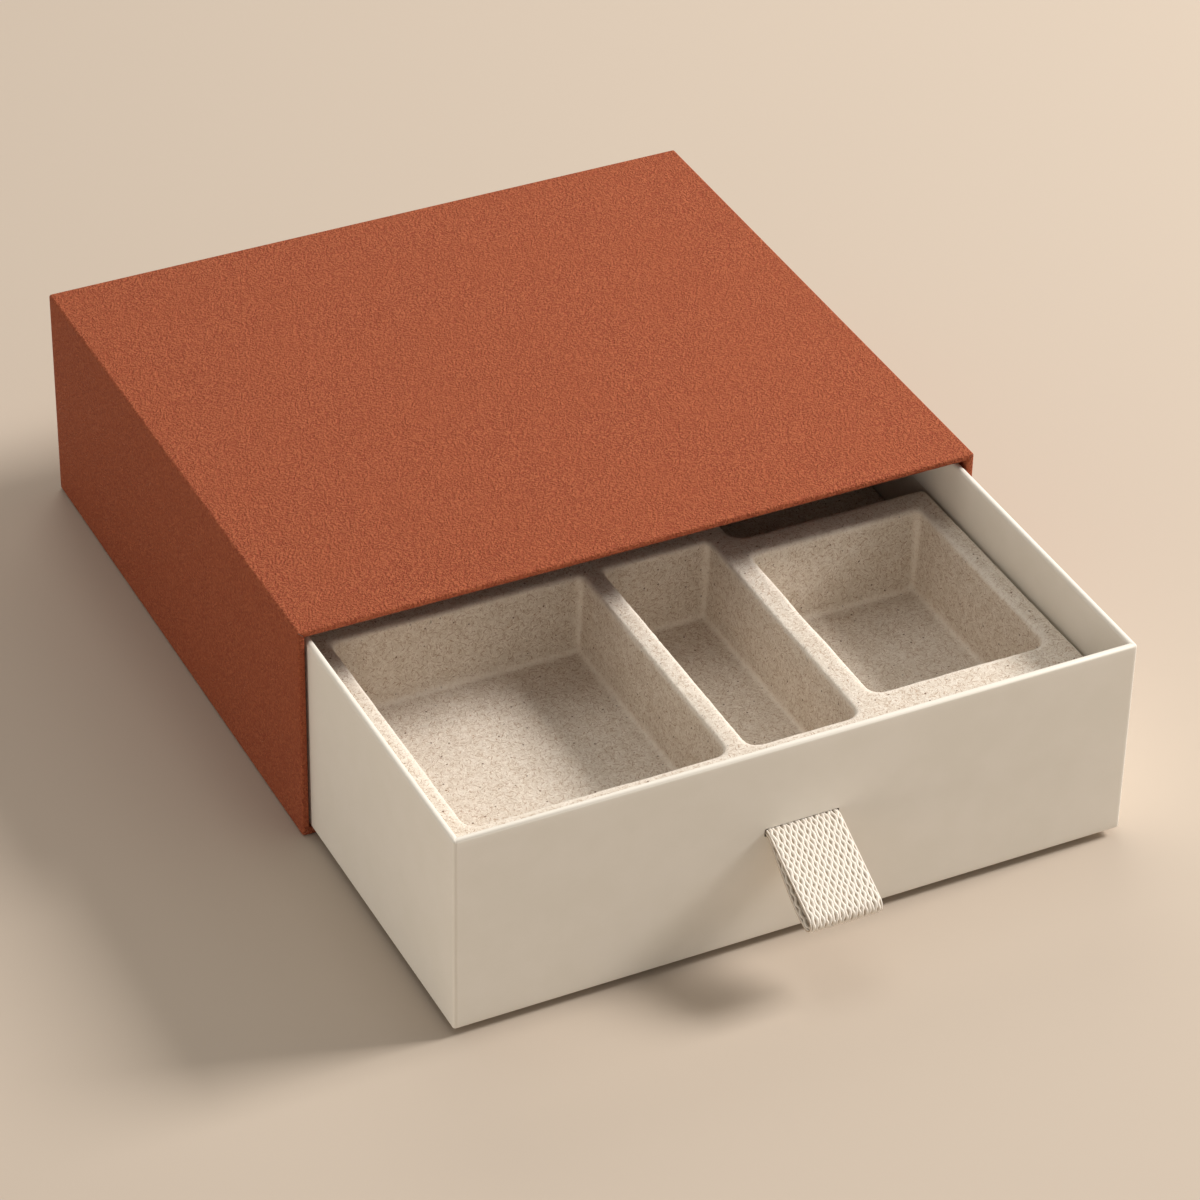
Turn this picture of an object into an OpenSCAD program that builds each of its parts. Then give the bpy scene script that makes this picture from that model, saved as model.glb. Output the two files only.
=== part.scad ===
// Sliding drawer gift box: a board sleeve with a closed back, a paper-covered
// drawer that slides out of its mouth, a moulded pulp insert and a webbing pull.
// Millimetres. X runs along the drawer front, Y from the mouth to the back, Z up.
// The origin is the centre of the sleeve's underside. The drawer is drawn partly open.

/* [Sleeve] */
// Outer width of the sleeve, side to side
sleeve_w = 240; // [200:1:400]
// Outer depth of the sleeve, mouth to back
sleeve_d = 218; // [180:1:400]
// Outer height of the sleeve
sleeve_h = 80; // [70:1:160]

/* [Board and paper] */
// Thickness of every greyboard panel
board_t = 2; // [1.5:0.1:3]
// Thickness of the covering papers
wrap_t = 0.2; // [0.15:0.01:0.3]
// Thickness of the lining papers
lining_t = 0.2; // [0.15:0.01:0.3]
// Thickness of the tape that holds the board edges together
tape_t = 0.1; // [0.05:0.01:0.12]
// Width of the tape on each side of a board edge
tape_leg = 12; // [6:1:20]
// Depth of the sleeve paper folded in at the mouth
mouth_turn_in = 15; // [8:1:25]
// Width of the sleeve paper lapped under the base and round the back
lap_w = 14; // [8:1:25]
// Margin between a cover sheet's edge and the sleeve's edge
sheet_inset = 1.6; // [1:0.1:4]

/* [Drawer] */
// How far the drawer front stands out of the mouth
drawer_open = 108; // [0:1:170]
// Clearance on each side of the drawer
side_gap = 0.8; // [0.5:0.1:2]
// Clearance under the drawer
floor_gap = 0.3; // [0.2:0.1:0.8]
// Clearance over the drawer
top_gap = 2.5; // [0.5:0.1:5]
// Clearance behind the drawer when its front is flush with the mouth
back_gap = 0.4; // [0.2:0.1:3]
// Depth of the drawer paper folded in over the rim
rim_turn_in = 20; // [10:1:30]

/* [Pulp insert] */
// Thickness of the moulded pulp
pulp_t = 2.4; // [1.5:0.1:3]
// Depth of the insert's top below the drawer rim
insert_drop = 19.1; // [10:0.1:24]
// Clearance between the insert and each side wall
insert_side_gap = 0.8; // [0.4:0.1:2]
// Clearance between the insert and the front wall
insert_front_gap = 2; // [1.9:0.1:4]
// Clearance between the insert and the back wall
insert_back_gap = 1; // [0.4:0.1:3]
// Flat margin left of the left well
margin_left = 13.6; // [8:0.1:30]
// Flat margin right of the right well
margin_right = 7.6; // [5:0.1:20]
// Flat margin in front of the left and middle wells
margin_front = 22.1; // [10:0.1:30]
// Flat margin in front of the right well
margin_front_right = 30.1; // [12:0.1:40]
// Flat margin behind the rear wells
margin_back = 8; // [6:0.1:20]
// Rib between the left and middle wells
rib_left = 7.5; // [6:0.1:14]
// Rib between the middle and right wells
rib_right = 9; // [6:0.1:14]
// Rib between the front and rear wells
rib_cross = 10.5; // [6:0.1:20]
// Width of the middle well
well_mid_w = 38.5; // [25:0.5:60]
// Width of the right well
well_right_w = 63; // [30:0.5:80]
// Front-to-back length of the left and middle wells
well_front_l = 103; // [60:0.5:110]
// Front-to-back length of the right well
well_right_l = 82.5; // [50:0.5:90]
// Depth of the left and middle wells
well_depth = 28.5; // [12:0.1:32]
// Depth of the right well
well_right_depth = 30.5; // [12:0.1:34]
// Depth of the rear well
well_rear_depth = 28; // [12:0.1:32]
// Depth of the stepped tray behind the right well
tray_depth = 20; // [6:0.1:24]
// Rounding of the top edges of the stepped tray
tray_edge_r = 3.5; // [1:0.1:4]
// Solid strip between the right well and the stepped tray
tray_rib = 12; // [8:0.1:24]
// Radius of the wells' front corners and the insert's own corners, seen from above
well_r = 4.5; // [4:0.1:10]
// Radius of the wells' back corners, seen from above
well_back_r = 2; // [1:0.1:8]
// Rounding of the top edges of the insert
edge_r = 1.3; // [0.8:0.1:1.5]
// Rounding where a well's wall meets its floor
foot_r = 1.2; // [0.8:0.1:3]
// Lean of the well walls, in degrees
draft = 3; // [1:0.1:4]

/* [Pull] */
// Width of the webbing
webbing_w = 25; // [15:0.5:40]
// Thickness of the webbing
webbing_t = 1.3; // [0.8:0.1:1.4]
// Height of the slit's middle above the drawer's underside
slit_up = 40.8; // [25:0.1:42]
// Clearance at each end of the slit
slit_end_gap = 0.4; // [0.2:0.1:1]
// Clearance over and under the webbing in the slit
slit_gap = 0.2; // [0.1:0.05:0.5]
// Running clearance between the loop's root and the slit
root_gap = 0.2; // [0.1:0.05:0.5]
// Reach of the fold's centre out from the loop's root
fold_out = 25.7; // [18:0.1:40]
// Fall of the fold's centre below the loop's root
fold_down = 15.1; // [8:0.1:20]
// Radius of the fold, to the middle of the webbing
fold_r = 2.65; // [1.6:0.05:3.5]
// Slope of the lower layer where it leaves the slit, in degrees
lower_slope = 41.5; // [36:0.5:50]
// Length of each glued tail behind the front
tail_l = 9; // [6:0.5:12]
// Margin of the patch round the tails
patch_lap = 2.5; // [1:0.1:4]

/* [Hidden] */

// Cuts run this far past the faces that they open
past = 1;
// Points on each quarter of a well's corner, and on each rounding of its edge
corner_steps = 5;
edge_steps = 3;
// Tightest corner that a well's rings close in to
corner_min = 0.3;
// Points on the webbing's fold and on its curved lower layer
fold_steps = 14;
lower_steps = 10;
// Points on the round root of the loop
root_steps = 8;
// Sides of the full circle that rounds the tray's outer corner
round_sides = 32;

// Sleeve: outer faces, board faces and inner faces
x_out = sleeve_w / 2;
y_mouth = -sleeve_d / 2;
y_back = sleeve_d / 2;
x_board = x_out - wrap_t;
y_board_0 = y_mouth + wrap_t;
y_board_1 = y_back - 2 * wrap_t;
z_board_0 = 2 * wrap_t;
z_board_1 = sleeve_h - wrap_t;
x_in = x_board - board_t - lining_t;
y_in = y_board_1 - board_t - lining_t;
z_in_0 = z_board_0 + board_t + lining_t;
z_in_1 = z_board_1 - board_t - lining_t;
y_lining = y_mouth + mouth_turn_in;

// Drawer: outer faces, at the drawn opening
xd = x_in - side_gap;
yd_0 = y_mouth - drawer_open;
yd_1 = yd_0 + (y_in - y_mouth) - back_gap;
zd_0 = z_in_0 + floor_gap;
zd_1 = z_in_1 - top_gap;
// Drawer: board faces
xd_board = xd - wrap_t;
yd_board_0 = yd_0 + wrap_t;
yd_board_1 = yd_1 - wrap_t;
zd_board_0 = zd_0 + wrap_t;
zd_board_1 = zd_1 - wrap_t;
// Drawer: inner faces
wall = wrap_t + board_t + lining_t;
xd_in = xd - wall;
yd_in_0 = yd_0 + wall;
yd_in_1 = yd_1 - wall;
zd_in = zd_0 + wall;
z_rim_fold = zd_1 - rim_turn_in;

// Insert: outline, top and well edges
xi_0 = -xd_in + insert_side_gap;
xi_1 = xd_in - insert_side_gap;
yi_0 = yd_in_0 + insert_front_gap;
yi_1 = yd_in_1 - insert_back_gap;
zi = zd_1 - insert_drop;
x_right_1 = xi_1 - margin_right;
x_right_0 = x_right_1 - well_right_w;
x_mid_1 = x_right_0 - rib_right;
x_mid_0 = x_mid_1 - well_mid_w;
x_left_1 = x_mid_0 - rib_left;
x_left_0 = xi_0 + margin_left;
y_front_0 = yi_0 + margin_front;
y_front_1 = y_front_0 + well_front_l;
y_right_0 = yi_0 + margin_front_right;
y_right_1 = y_right_0 + well_right_l;
y_rear_0 = y_front_1 + rib_cross;
y_rear_1 = yi_1 - margin_back;
y_tray_0 = y_right_1 + tray_rib;

// Pull: slit, root of the loop
z_slit = zd_0 + slit_up;
slit_half_w = webbing_w / 2 + slit_end_gap;
slit_half_h = webbing_t + slit_gap;
y_root = yd_0 - webbing_t - root_gap;
y_tails = yd_in_0 + webbing_t;

// A block between two corners
module slab(low, high) {
    translate(low) cube(high - low);
}

// A closed outline of round-cornered points at one height, anticlockwise from above.
// The corners at the front and at the back have their own radius.
function ring(low, high, r_front, r_back, z) = [
    for (corner = [0:3], step = [0:corner_steps])
        let (
            turn = 180 + 90 * corner + 90 * step / corner_steps,
            r = max(corner < 2 ? r_front : r_back, corner_min),
            cx = corner == 0 || corner == 3 ? low.x + r : high.x - r,
            cy = corner < 2 ? low.y + r : high.y - r
        )
        [cx + r * cos(turn), cy + r * sin(turn), z]
];

// A solid skinned over rings of equal count, lowest ring first
module ring_stack(rings) {
    n = len(rings[0]);
    tall = len(rings);
    sides = [
        for (level = [0:tall - 2], i = [0:n - 1], half = [0, 1])
            let (
                a = level * n + i,
                b = level * n + (i + 1) % n
            )
            half == 0 ? [a, a + n, b + n] : [a, b + n, b]
    ];
    base = [for (i = [0:n - 1]) i];
    lid = [for (i = [n - 1:-1:0]) (tall - 1) * n + i];
    polyhedron(points = [for (r = rings) each r], faces = concat([base], sides, [lid]));
}

// Height and inset of a well's wall from its floor to its mouth, rounded by mouth_r
function well_profile(floor_z, top_z, mouth_r) =
    let (wall_h = top_z - mouth_r - (floor_z + foot_r))
    concat(
        [for (i = [edge_steps:-1:1])
            let (a = 90 * i / edge_steps)
            [floor_z + foot_r * (1 - sin(a)), wall_h * tan(draft) + foot_r * (1 - cos(a))]],
        [[floor_z + foot_r, wall_h * tan(draft)]],
        [for (i = [0:edge_steps])
            let (a = 90 * i / edge_steps)
            [top_z - mouth_r * (1 - sin(a)), -mouth_r * (1 - cos(a))]],
        [[top_z + past, -mouth_r]]
    );

// The hollow of a well, or the outside of its tub when grown by the pulp's thickness
module well(low, high, depth, mouth_r, grow) {
    floor_z = zi - depth;
    ring_stack([
        for (p = well_profile(floor_z, zi, mouth_r))
            let (
                inward = p[1] - grow,
                inset = [inward, inward]
            )
            ring(low + inset, high - inset, well_r - inward, well_back_r - inward,
                p[0] - (p[0] > zi ? 0 : grow))
    ]);
}

// All wells and the stepped tray
module wells(grow) {
    well([x_left_0, y_front_0], [x_left_1, y_front_1], well_depth, edge_r, grow);
    well([x_mid_0, y_front_0], [x_mid_1, y_front_1], well_depth, edge_r, grow);
    well([x_right_0, y_right_0], [x_right_1, y_right_1], well_right_depth, edge_r, grow);
    well([x_left_0, y_rear_0], [x_mid_1, y_rear_1], well_rear_depth, edge_r, grow);
    well([x_right_0, y_tray_0], [xi_1 + 2 * well_r, y_rear_1], tray_depth, tray_edge_r, grow);
    tray_corner(grow);
}

// Rounds the corner that the tray leaves at the insert's right edge
module tray_corner(grow) {
    x = xi_1 - well_r;
    y = y_tray_0 - well_r;
    z = zi - tray_depth - grow;
    difference() {
        slab([x, y, z], [xi_1 + past, y_tray_0 + well_r, zi + past]);
        translate([x, y, z - past])
            cylinder(r = well_r - grow, h = tray_depth + grow + 3 * past, $fn = round_sides);
    }
}

// The insert's outer form, shrunk on every face but the floor
module insert_form(shrink) {
    low = [xi_0 + shrink, yi_0 + shrink];
    high = [xi_1 - shrink, yi_1 - shrink];
    top = zi - shrink;
    foot = shrink > 0 ? zd_in - past : zd_in;
    r = well_r - shrink;
    ring_stack(concat(
        [ring(low, high, r, r, foot)],
        [for (i = [0:edge_steps])
            let (
                a = 90 * i / edge_steps,
                inset = edge_r * (1 - cos(a))
            )
            ring(low + [inset, inset], high - [inset, inset], r - inset, r - inset,
                top - edge_r * (1 - sin(a)))]
    ));
}

// Middle line of the webbing loop as [out, up] from its root, upper layer first
fold_centre = [fold_out, -fold_down];
root_top = [0, webbing_t / 2];
root_low = [0, -webbing_t / 2];
top_run = fold_centre - root_top;
top_slope = atan2(top_run.y, top_run.x) + asin(fold_r / norm(top_run));
knee = [(fold_down + fold_r - webbing_t / 2) / tan(lower_slope), -fold_down - fold_r];
function fold_point(i) =
    let (a = 90 + top_slope - (180 + top_slope) * i / fold_steps)
    fold_centre + fold_r * [cos(a), sin(a)];
function lower_point(t) =
    (1 - t) * (1 - t) * fold_point(fold_steps) + 2 * t * (1 - t) * knee + t * t * root_low;
loop_line = concat(
    [root_top],
    [for (i = [0:fold_steps]) fold_point(i)],
    [for (i = [1:lower_steps]) lower_point(i / lower_steps)]
);
loop_last = len(loop_line) - 1;

// Unit normal of the middle line at a point, towards the outside of the loop
function loop_normal(i) =
    let (d = loop_line[min(i + 1, loop_last)] - loop_line[max(i - 1, 0)])
    [-d.y, d.x] / norm(d);
function loop_side(i, offset) = loop_line[i] + offset * loop_normal(i);

// Outline of the loop
loop_outside = concat(
    [for (i = [0:loop_last]) loop_side(i, webbing_t / 2)],
    [for (i = [1:root_steps - 1])
        let (a = -90 - lower_slope + (top_slope + lower_slope - 180) * i / root_steps)
        webbing_t * [cos(a), sin(a)]]
);

// The hollow inside the loop starts where the two layers' inner faces part
hollow_tip = webbing_t / 2 / sin(lower_slope + top_slope) * [
    cos(lower_slope) * (1 - cos(top_slope)) + cos(top_slope) * (1 - cos(lower_slope)),
    sin(top_slope) * (1 - cos(lower_slope)) - sin(lower_slope) * (1 - cos(top_slope))
];
loop_hollow = concat([hollow_tip], [for (i = [1:loop_last - 1]) loop_side(i, -webbing_t / 2)]);

module sleeve_top_board() {
    color("#9a958c")
        slab([-x_board, y_board_0, z_board_1 - board_t], [x_board, y_board_1, z_board_1]);
}

module sleeve_base_board() {
    color("#9a958c")
        slab([-x_board, y_board_0, z_board_0], [x_board, y_board_1, z_board_0 + board_t]);
}

// The right wall of the sleeve, between the top and base boards
module sleeve_side() {
    color("#9a958c")
        slab([x_board - board_t, y_board_0, z_board_0 + board_t],
            [x_board, y_board_1, z_board_1 - board_t]);
}

module sleeve_left_board() {
    mirror([1, 0, 0]) sleeve_side();
}

module sleeve_right_board() {
    sleeve_side();
}

// The back wall, set between the four others
module sleeve_back_board() {
    x = x_board - board_t;
    color("#9a958c")
        slab([-x, y_board_1 - board_t, z_board_0 + board_t],
            [x, y_board_1, z_board_1 - board_t]);
}

// Tape folded over one long edge: an angle outside the boards
module edge_tape(side, z_edge, up) {
    z_low = up ? z_edge - tape_leg : z_edge - tape_t;
    z_high = up ? z_edge + tape_t : z_edge + tape_leg;
    mirror([side < 0 ? 1 : 0, 0, 0])
        difference() {
            slab([x_board - tape_leg, y_board_0, z_low], [x_board + tape_t, y_board_1, z_high]);
            slab([x_board - tape_leg - past, y_board_0 - past, up ? z_low - past : z_edge],
                [x_board, y_board_1 + past, up ? z_edge : z_high + past]);
        }
}

module sleeve_edge_tapes() {
    color("#d9d2c4")
        for (side = [-1, 1]) {
            edge_tape(side, z_board_1, true);
            edge_tape(side, z_board_0, false);
        }
}

// Covering paper over the top and sides, folded in at the mouth and lapped
// under the base and round the back
module sleeve_wrap() {
    y_lap = y_back - wrap_t;
    color("#a8573b")
        difference() {
            slab([-x_out, y_mouth, wrap_t], [x_out, y_lap, sleeve_h]);
            slab([-x_board, y_board_0, z_board_0], [x_board, y_board_1, z_board_1]);
            sleeve_edge_tapes();
            // the mouth, as far in as the lining, above the base
            slab([-x_in, y_mouth - past, z_board_0], [x_in, y_board_0, z_in_1]);
            // underside between the two laps, and the base's own edge at the mouth
            slab([-x_out + lap_w, y_mouth - past, -past],
                [x_out - lap_w, y_back + past, z_board_0]);
            // the back inside its laps
            slab([-x_out + lap_w, y_board_0, z_board_0 + lap_w],
                [x_out - lap_w, y_back + past, sleeve_h - lap_w]);
            slab([-x_out + lap_w, y_board_1 - past, -past],
                [x_out - lap_w, y_back + past, z_board_0 + lap_w]);
        }
    color("#a8573b") sleeve_mouth_folds();
}

// The paper folded in over the top and side walls at the mouth
module sleeve_mouth_folds() {
    x_wall = x_board - board_t;
    z_ceiling = z_board_1 - board_t;
    difference() {
        slab([-x_wall, y_mouth, z_in_0], [x_wall, y_lining, z_ceiling]);
        slab([-x_in, y_mouth - past, z_in_0 - past], [x_in, y_lining + past, z_in_1]);
    }
}

// Sheet under the base: it covers the laps, fills the step between them, and folds
// in over the base board at the mouth and up behind it at the back
module sleeve_base_sheet() {
    x = x_out - sheet_inset;
    x_dip = x_out - lap_w;
    y_lap = y_back - wrap_t;
    color("#a8573b")
        difference() {
            union() {
                slab([-x, y_mouth, 0], [x, y_back - sheet_inset, wrap_t]);
                slab([-x_dip, y_mouth, 0], [x_dip, y_lap, z_board_0]);
                slab([-x_dip, y_board_1, 0], [x_dip, y_lap, z_board_0 + lap_w]);
                slab([-x_in, y_mouth, z_board_0], [x_in, y_board_0, z_in_0]);
                slab([-x_in, y_mouth, z_in_0 - lining_t], [x_in, y_lining, z_in_0]);
            }
            sleeve_edge_tapes();
        }
}

// Sheet over the back, bridging the laps and dipping between them
module sleeve_back_sheet() {
    x = x_out - sheet_inset;
    x_dip = x_out - lap_w;
    z_dip_0 = z_board_0 + lap_w;
    z_dip_1 = sleeve_h - lap_w;
    y_lap = y_back - wrap_t;
    color("#a8573b")
        difference() {
            union() {
                slab([-x, y_lap, sheet_inset], [x, y_back, sleeve_h - sheet_inset]);
                slab([-x_dip, y_board_1, z_dip_0], [x_dip, y_lap, z_dip_1]);
            }
            slab([-x_dip + wrap_t, y_lap, z_dip_0 + wrap_t],
                [x_dip - wrap_t, y_back + past, z_dip_1 - wrap_t]);
        }
}

module sleeve_lining() {
    x = x_board - board_t;
    color("#9c5238")
        difference() {
            slab([-x, y_lining, z_in_0 - lining_t], [x, y_in + lining_t, z_in_1 + lining_t]);
            slab([-x_in, y_lining - past, z_in_0], [x_in, y_in, z_in_1]);
        }
}

// The slit that the webbing passes through
module slit_cut() {
    slab([-slit_half_w, yd_0 - past, z_slit - slit_half_h],
        [slit_half_w, yd_in_0 + past, z_slit + slit_half_h]);
}

module drawer_front_board() {
    color("#9a958c")
        difference() {
            slab([-xd_board, yd_board_0, zd_board_0],
                [xd_board, yd_board_0 + board_t, zd_board_1]);
            slit_cut();
        }
}

module drawer_back_board() {
    color("#9a958c")
        slab([-xd_board, yd_board_1 - board_t, zd_board_0], [xd_board, yd_board_1, zd_board_1]);
}

// The right wall of the drawer, between the front and back boards
module drawer_side() {
    color("#9a958c")
        slab([xd_board - board_t, yd_board_0 + board_t, zd_board_0],
            [xd_board, yd_board_1 - board_t, zd_board_1]);
}

module drawer_left_board() {
    mirror([1, 0, 0]) drawer_side();
}

module drawer_right_board() {
    drawer_side();
}

// The drawer's floor, set between its four walls
module drawer_base_board() {
    x = xd_board - board_t;
    color("#9a958c")
        slab([-x, yd_board_0 + board_t, zd_board_0],
            [x, yd_board_1 - board_t, zd_board_0 + board_t]);
}

// Tape folded round one upright corner of the drawer
module corner_tape(x_side, y_side) {
    x = xd_board + tape_t;
    y_low = y_side < 0 ? yd_board_0 - tape_t : yd_board_1 - tape_leg;
    y_high = y_side < 0 ? yd_board_0 + tape_leg : yd_board_1 + tape_t;
    mirror([x_side < 0 ? 1 : 0, 0, 0])
        difference() {
            slab([xd_board - tape_leg, y_low, zd_board_0], [x, y_high, zd_board_1]);
            slab([xd_board - tape_leg - past, y_side < 0 ? yd_board_0 : y_low - past,
                zd_board_0 - past],
                [xd_board, y_side < 0 ? y_high + past : yd_board_1, zd_board_1 + past]);
        }
}

module drawer_corner_tapes() {
    color("#e6e0d4")
        for (x_side = [-1, 1], y_side = [-1, 1])
            corner_tape(x_side, y_side);
}

// Covering paper over the walls and floor of the drawer, folded in over the rim
module drawer_wrap() {
    color("#e8e1d5")
        difference() {
            slab([-xd, yd_0, zd_0], [xd, yd_1, zd_1]);
            difference() {
                slab([-xd_board, yd_board_0, zd_board_0], [xd_board, yd_board_1, zd_board_1]);
                // the folded-in band on the inside of the walls stays
                slab([-xd_in - lining_t, yd_in_0 - lining_t, z_rim_fold],
                    [xd_in + lining_t, yd_in_1 + lining_t, zd_1]);
            }
            slab([-xd_in, yd_in_0, z_rim_fold - past], [xd_in, yd_in_1, zd_1 + past]);
            drawer_corner_tapes();
            slit_cut();
        }
}

// Lining paper on the inside of the walls below the folded-in band, and on the floor
module drawer_lining() {
    color("#e8e1d5")
        difference() {
            slab([-xd_in - lining_t, yd_in_0 - lining_t, zd_in - lining_t],
                [xd_in + lining_t, yd_in_1 + lining_t, z_rim_fold]);
            slab([-xd_in, yd_in_0, zd_in], [xd_in, yd_in_1, z_rim_fold + past]);
            slit_cut();
        }
}

module pulp_insert() {
    color("#d3c7b1")
        difference() {
            insert_form(0);
            difference() {
                insert_form(pulp_t);
                wells(pulp_t);
            }
            wells(0);
        }
}

// Both webbing tails: together in the slit, then splayed up and down behind the front
module pull_tails() {
    x = webbing_w / 2;
    color("#efe6d6")
        union() {
            slab([-x, yd_0, z_slit - webbing_t], [x, y_tails, z_slit + webbing_t]);
            slab([-x, yd_in_0, z_slit - tail_l], [x, y_tails, z_slit + tail_l]);
        }
}

// Paper patch glued over the tails and onto the lining round them
module tail_patch() {
    x = webbing_w / 2;
    lap = patch_lap + lining_t;
    color("#e2dacb")
        difference() {
            union() {
                slab([-x - lap, yd_in_0, z_slit - tail_l - lap],
                    [x + lap, yd_in_0 + lining_t, z_slit + tail_l + lap]);
                slab([-x - lining_t, yd_in_0, z_slit - tail_l - lining_t],
                    [x + lining_t, y_tails + lining_t, z_slit + tail_l + lining_t]);
            }
            slab([-x, yd_in_0 - past, z_slit - tail_l], [x, y_tails, z_slit + tail_l]);
        }
}

// The loop outside the slit, which bends about its root
module pull_loop() {
    color("#efe6d6")
        translate([-webbing_w / 2, y_root, z_slit])
            rotate([90, 0, 90])
                mirror([1, 0, 0])
                    linear_extrude(webbing_w)
                        difference() {
                            polygon(loop_outside);
                            polygon(loop_hollow);
                        }
}

sleeve_top_board();
sleeve_base_board();
sleeve_left_board();
sleeve_right_board();
sleeve_back_board();
sleeve_edge_tapes();
sleeve_wrap();
sleeve_base_sheet();
sleeve_back_sheet();
sleeve_lining();
drawer_front_board();
drawer_back_board();
drawer_left_board();
drawer_right_board();
drawer_base_board();
drawer_corner_tapes();
drawer_wrap();
drawer_lining();
pulp_insert();
pull_tails();
tail_patch();
pull_loop();
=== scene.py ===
"""Looks of a sliding drawer gift box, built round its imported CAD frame.

The classes hold their sizes in millimetres, in the frame's own axes: X runs along the
drawer's front, Y from the sleeve's mouth to its back, Z up, and the origin is the centre
of the sleeve's underside. The drawer is drawn partly open, as in the frame.
"""

import logging  # noqa: E402
import math  # noqa: E402
from dataclasses import dataclass, field  # noqa: E402
from enum import Enum  # noqa: E402
from functools import partial  # noqa: E402
from typing import Any, Callable, Iterable, Sequence  # noqa: E402

import bmesh  # noqa: E402
import bpy  # noqa: E402
import numpy as np  # noqa: E402
from mathutils import Matrix, Vector, noise  # noqa: E402
from mathutils.bvhtree import BVHTree  # noqa: E402


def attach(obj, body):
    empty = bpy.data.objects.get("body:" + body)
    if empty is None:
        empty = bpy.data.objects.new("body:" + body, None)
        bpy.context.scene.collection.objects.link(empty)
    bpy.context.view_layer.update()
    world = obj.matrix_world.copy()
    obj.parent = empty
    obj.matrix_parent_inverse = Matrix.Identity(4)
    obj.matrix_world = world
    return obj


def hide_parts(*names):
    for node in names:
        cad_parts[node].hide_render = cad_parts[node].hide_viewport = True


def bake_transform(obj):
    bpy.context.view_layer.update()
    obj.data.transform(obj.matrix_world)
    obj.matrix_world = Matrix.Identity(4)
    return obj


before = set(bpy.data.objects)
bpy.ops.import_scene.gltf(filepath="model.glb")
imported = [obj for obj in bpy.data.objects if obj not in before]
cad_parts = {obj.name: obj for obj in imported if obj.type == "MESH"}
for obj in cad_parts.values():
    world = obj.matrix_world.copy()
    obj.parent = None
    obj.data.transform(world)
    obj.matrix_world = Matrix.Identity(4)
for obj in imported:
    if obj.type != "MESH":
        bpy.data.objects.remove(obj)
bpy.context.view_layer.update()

LOG = logging.getLogger("gift_box")
MM = 0.001
MERGE_MM = 0.001
# a hair of room between two glued layers, so that their faces don't coincide
HAIR = 0.01
FOLD_STEPS = 5
STRIP_STEPS = 6

Tree = bpy.types.NodeTree
Socket = bpy.types.NodeSocket
Outputs = bpy.types.bpy_prop_collection
Piece = bpy.types.Object
AddNode = Callable[..., Outputs]
Ring = list[tuple[float, float, float]]
Outline = list[tuple[float, float]]

MATH, VECTOR_MATH = "ShaderNodeMath", "ShaderNodeVectorMath"
XYZ, SPLIT = "ShaderNodeCombineXYZ", "ShaderNodeSeparateXYZ"
NOISE, RANGE, MIX = "ShaderNodeTexNoise", "ShaderNodeMapRange", "ShaderNodeMix"
SMOOTH = {"interpolation_type": "SMOOTHSTEP"}
COLOUR = {"data_type": "RGBA"}


class Body(Enum):
    """The CAD bodies that pieces ride on."""

    SLEEVE = "sleeve"
    DRAWER = "drawer"
    PULL = "pull"


class Slot(Enum):
    """The record's material slots."""

    TERRACOTTA_PAPER = "terracotta_paper"
    OFFWHITE_PAPER = "offwhite_paper"
    GREYBOARD = "greyboard"
    PAPER_TAPE = "paper_tape"
    MOULDED_PULP = "moulded_pulp"
    WEBBING = "webbing"


class Turn(Enum):
    """How a piece drawn in (u, v) along w is laid into the frame's axes."""

    UPRIGHT = "upright"  # u, v, w are x, y, z
    LYING = "lying"  # u, v, w are x, z, -y


class Layer(Enum):
    """The two layers of the folded webbing."""

    UPPER = 1.0
    LOWER = -1.0


# ---------------------------------------------------------------- nodes and meshes


def linear(hex_code: str) -> tuple[float, float, float, float]:
    """Turns an sRGB hex colour to linear.

    Args:
        hex_code: The colour, such as "#A8573B".

    Returns:
        Red, green, blue and alpha, linear.
    """
    parts = [int(hex_code[i : i + 2], 16) / 255 for i in (1, 3, 5)]
    red, green, blue = (
        c / 12.92 if c <= 0.04045 else ((c + 0.055) / 1.055) ** 2.4 for c in parts
    )
    return red, green, blue, 1.0


def per_metre(size_mm: float) -> float:
    """Texture scale of a pattern whose repeats are size_mm apart."""
    return 1.0 / (size_mm * MM)


def add_node(tree: Tree, kind: str, *inputs: Any, **settings: Any) -> Outputs:
    """Adds one node with its settings and links.

    Args:
        tree: The node tree to add to.
        kind: The node's type name.
        *inputs: A value, or an output to link from, for each input in order, or one dict
            of them by name or number. A list links several outputs to one input.
        **settings: The node's own properties.

    Returns:
        The new node's outputs.
    """
    node = tree.nodes.new(kind)
    for name, value in settings.items():
        setattr(node, name, value)
    by_name = bool(inputs) and isinstance(inputs[0], dict)
    given = inputs[0] if by_name else dict(enumerate(inputs))
    for key, value in given.items():
        for one in value if isinstance(value, list) else [value]:
            if isinstance(one, Socket):
                tree.links.new(one, node.inputs[key])
            else:
                node.inputs[key].default_value = one
    return node.outputs


def place(turn: Turn, u: float, v: float, w: float) -> tuple[float, float, float]:
    """Turns a drawn point (u, v, w) to the frame's axes."""
    return (u, v, w) if turn is Turn.UPRIGHT else (u, -w, v)


def make_piece(
    name: str,
    points: Iterable[Sequence[float]],
    faces: Iterable[Sequence[int]],
    finish: "Finish",
    smooth_deg: float = 40.0,
) -> Piece:
    """Makes a mesh object at the origin from points in millimetres.

    Args:
        name: The piece's name.
        points: The points.
        faces: The faces as point numbers.
        finish: What it is made of.
        smooth_deg: Edges that turn by less than this are shaded smooth.

    Returns:
        The object, linked to the scene.
    """
    mesh = bpy.data.meshes.new(name)
    mesh.from_pydata([[c * MM for c in p] for p in points], [], [list(f) for f in faces])
    mesh.materials.append(finish.material())
    return show(name, mesh, smooth_deg)


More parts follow.
